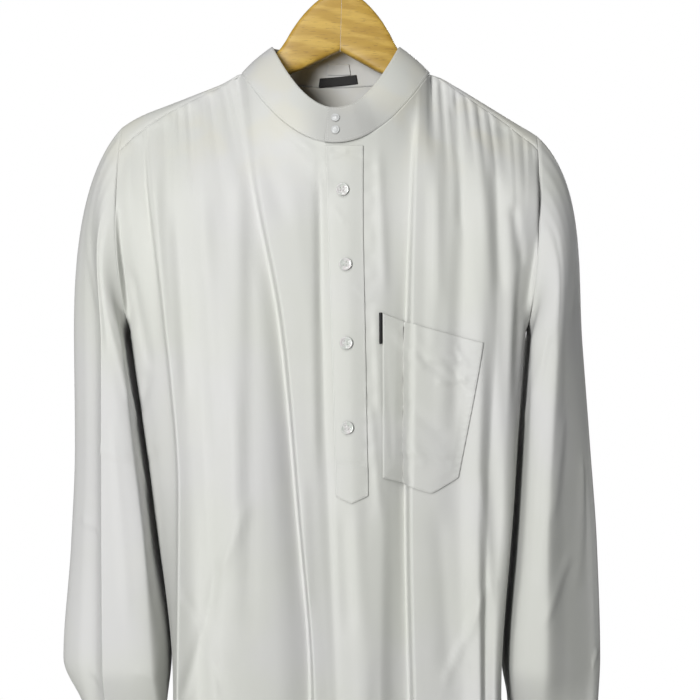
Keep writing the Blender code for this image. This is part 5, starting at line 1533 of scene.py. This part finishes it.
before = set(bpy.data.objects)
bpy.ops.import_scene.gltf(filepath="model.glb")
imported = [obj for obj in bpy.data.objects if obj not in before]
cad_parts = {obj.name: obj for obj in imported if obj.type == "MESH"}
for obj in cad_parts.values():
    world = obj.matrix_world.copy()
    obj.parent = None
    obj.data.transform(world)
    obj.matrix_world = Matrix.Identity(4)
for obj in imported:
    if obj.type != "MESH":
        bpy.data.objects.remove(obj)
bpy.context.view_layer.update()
make_stage()

cloth = white_cloth("white cloth")
crisp_cloth = white_cloth("stiff white cloth", 1.0)
# the collar's stiff cloth, with painted shade on its front
front_shaded_cloth = white_cloth("stiff white cloth with painted front shade", 1.0, True)
thread = plain("white thread", (0.80, 0.805, 0.79), 0.55)
ribbon = black_ribbon()
pearl = pearl_button()
enamel = white_stud()
wood = hanger_wood()
steel = hook_steel()

front_cloth, *front_grid = make_front_cloth(cloth)
back_cloth, *back_grid = make_back_cloth(cloth)
yoke_cloth, *yoke_grid = make_yoke_cloth(cloth)
collar_cloth, *collar_grid = make_collar_cloth(front_shaded_cloth)
placket_cloth, *placket_grid = make_placket_cloth(crisp_cloth)
pocket_cloth, *pocket_grid_made = make_pocket_cloth(cloth)
tab = make_tab_ribbon(ribbon)
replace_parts(front_cloth, "front")
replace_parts(back_cloth, "back")
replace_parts(yoke_cloth, "yoke")
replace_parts(collar_cloth, "collar")
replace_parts(placket_cloth, "placket")
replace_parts(pocket_cloth, "pocket")
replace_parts(tab, "pocket_tab")

hem_line = HEM_DROP - HEM_FOLD
front_sewing = make_stitching("front_sewing", [level_line(front_grid, hem_line)], thread)
back_sewing = make_stitching("back_sewing", [level_line(back_grid, hem_line)], thread)
yoke_x = yoke_grid[0][:, 0, 0]
outside_neck = [yoke_x < NECK_X - BASE_RING["half"], yoke_x > NECK_X + BASE_RING["half"]]
yoke_lines = [inset_line([grid[part] for grid in yoke_grid], "top", TOP_STITCH) for part in outside_neck]
yoke_sewing = make_stitching("yoke_sewing", yoke_lines + [inset_line(yoke_grid, "foot", TOP_STITCH)], thread)
collar_sewing = make_stitching("collar_sewing", [inset_line(collar_grid, "top", EDGE_STITCH),
                                                 inset_line(collar_grid, "foot", EDGE_STITCH),
                                                 inset_line(collar_grid, "left", EDGE_STITCH)], thread)
placket_lines = [inset_line(placket_grid, edge, TOP_STITCH) for edge in ("left", "right", "foot")]
placket_lines += [level_line(placket_grid, drop) for drop in PLACKET_BARS]
for x, drop in BUTTON_PLACES:
    placket_lines += [upright_line(placket_grid, x + way, drop - BUTTONHOLE_HALF, drop + BUTTONHOLE_HALF)
                      for way in (-BUTTONHOLE_WIDE, BUTTONHOLE_WIDE)]
placket_sewing = make_stitching("placket_sewing", placket_lines, thread)
pocket_lines = [inset_line(pocket_grid_made, edge, TOP_STITCH) for edge in ("left", "right", "foot")]
pocket_sewing = make_stitching("pocket_sewing", pocket_lines, thread)

for side, table, creases in (("left", LEFT_SLEEVE, LEFT_CREASES), ("right", RIGHT_SLEEVE, RIGHT_CREASES)):
    sleeve, *sleeve_grid = make_sleeve_cloth(side, table, creases, cloth)
    cuff, *cuff_grid = make_cuff_cloth(side, table, crisp_cloth)
    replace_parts(sleeve, f"sleeve_{side}")
    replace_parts(cuff, f"cuff_{side}")
    sleeve_sewing = make_stitching(f"sleeve_{side}_sewing", [inset_line(sleeve_grid, "top", TOP_STITCH)],
                                   thread)
    cuff_sewing = make_stitching(f"cuff_{side}_sewing", [inset_line(cuff_grid, "top", EDGE_STITCH),
                                                        inset_line(cuff_grid, "foot", EDGE_STITCH)], thread)
for row, finish, slot_name in zip(LABELS, (ribbon, cloth), ("ribbon_black", "label_white")):
    label = make_label(row, finish)
    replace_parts(label, row[0])
for number, (x, drop) in enumerate(BUTTON_PLACES, 1):
    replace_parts(make_button(number, x, drop, placket_grid[0], pearl), f"button_{number}")
for number, drop in enumerate(STUD_DROPS, 1):
    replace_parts(make_stud(number, drop, enamel), f"stud_{number}")
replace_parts(make_hanger_wood("left", -1, wood), "hanger_left")
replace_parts(make_hanger_wood("right", 1, wood), "hanger_right")
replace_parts(make_hook_wire(steel), "hook")
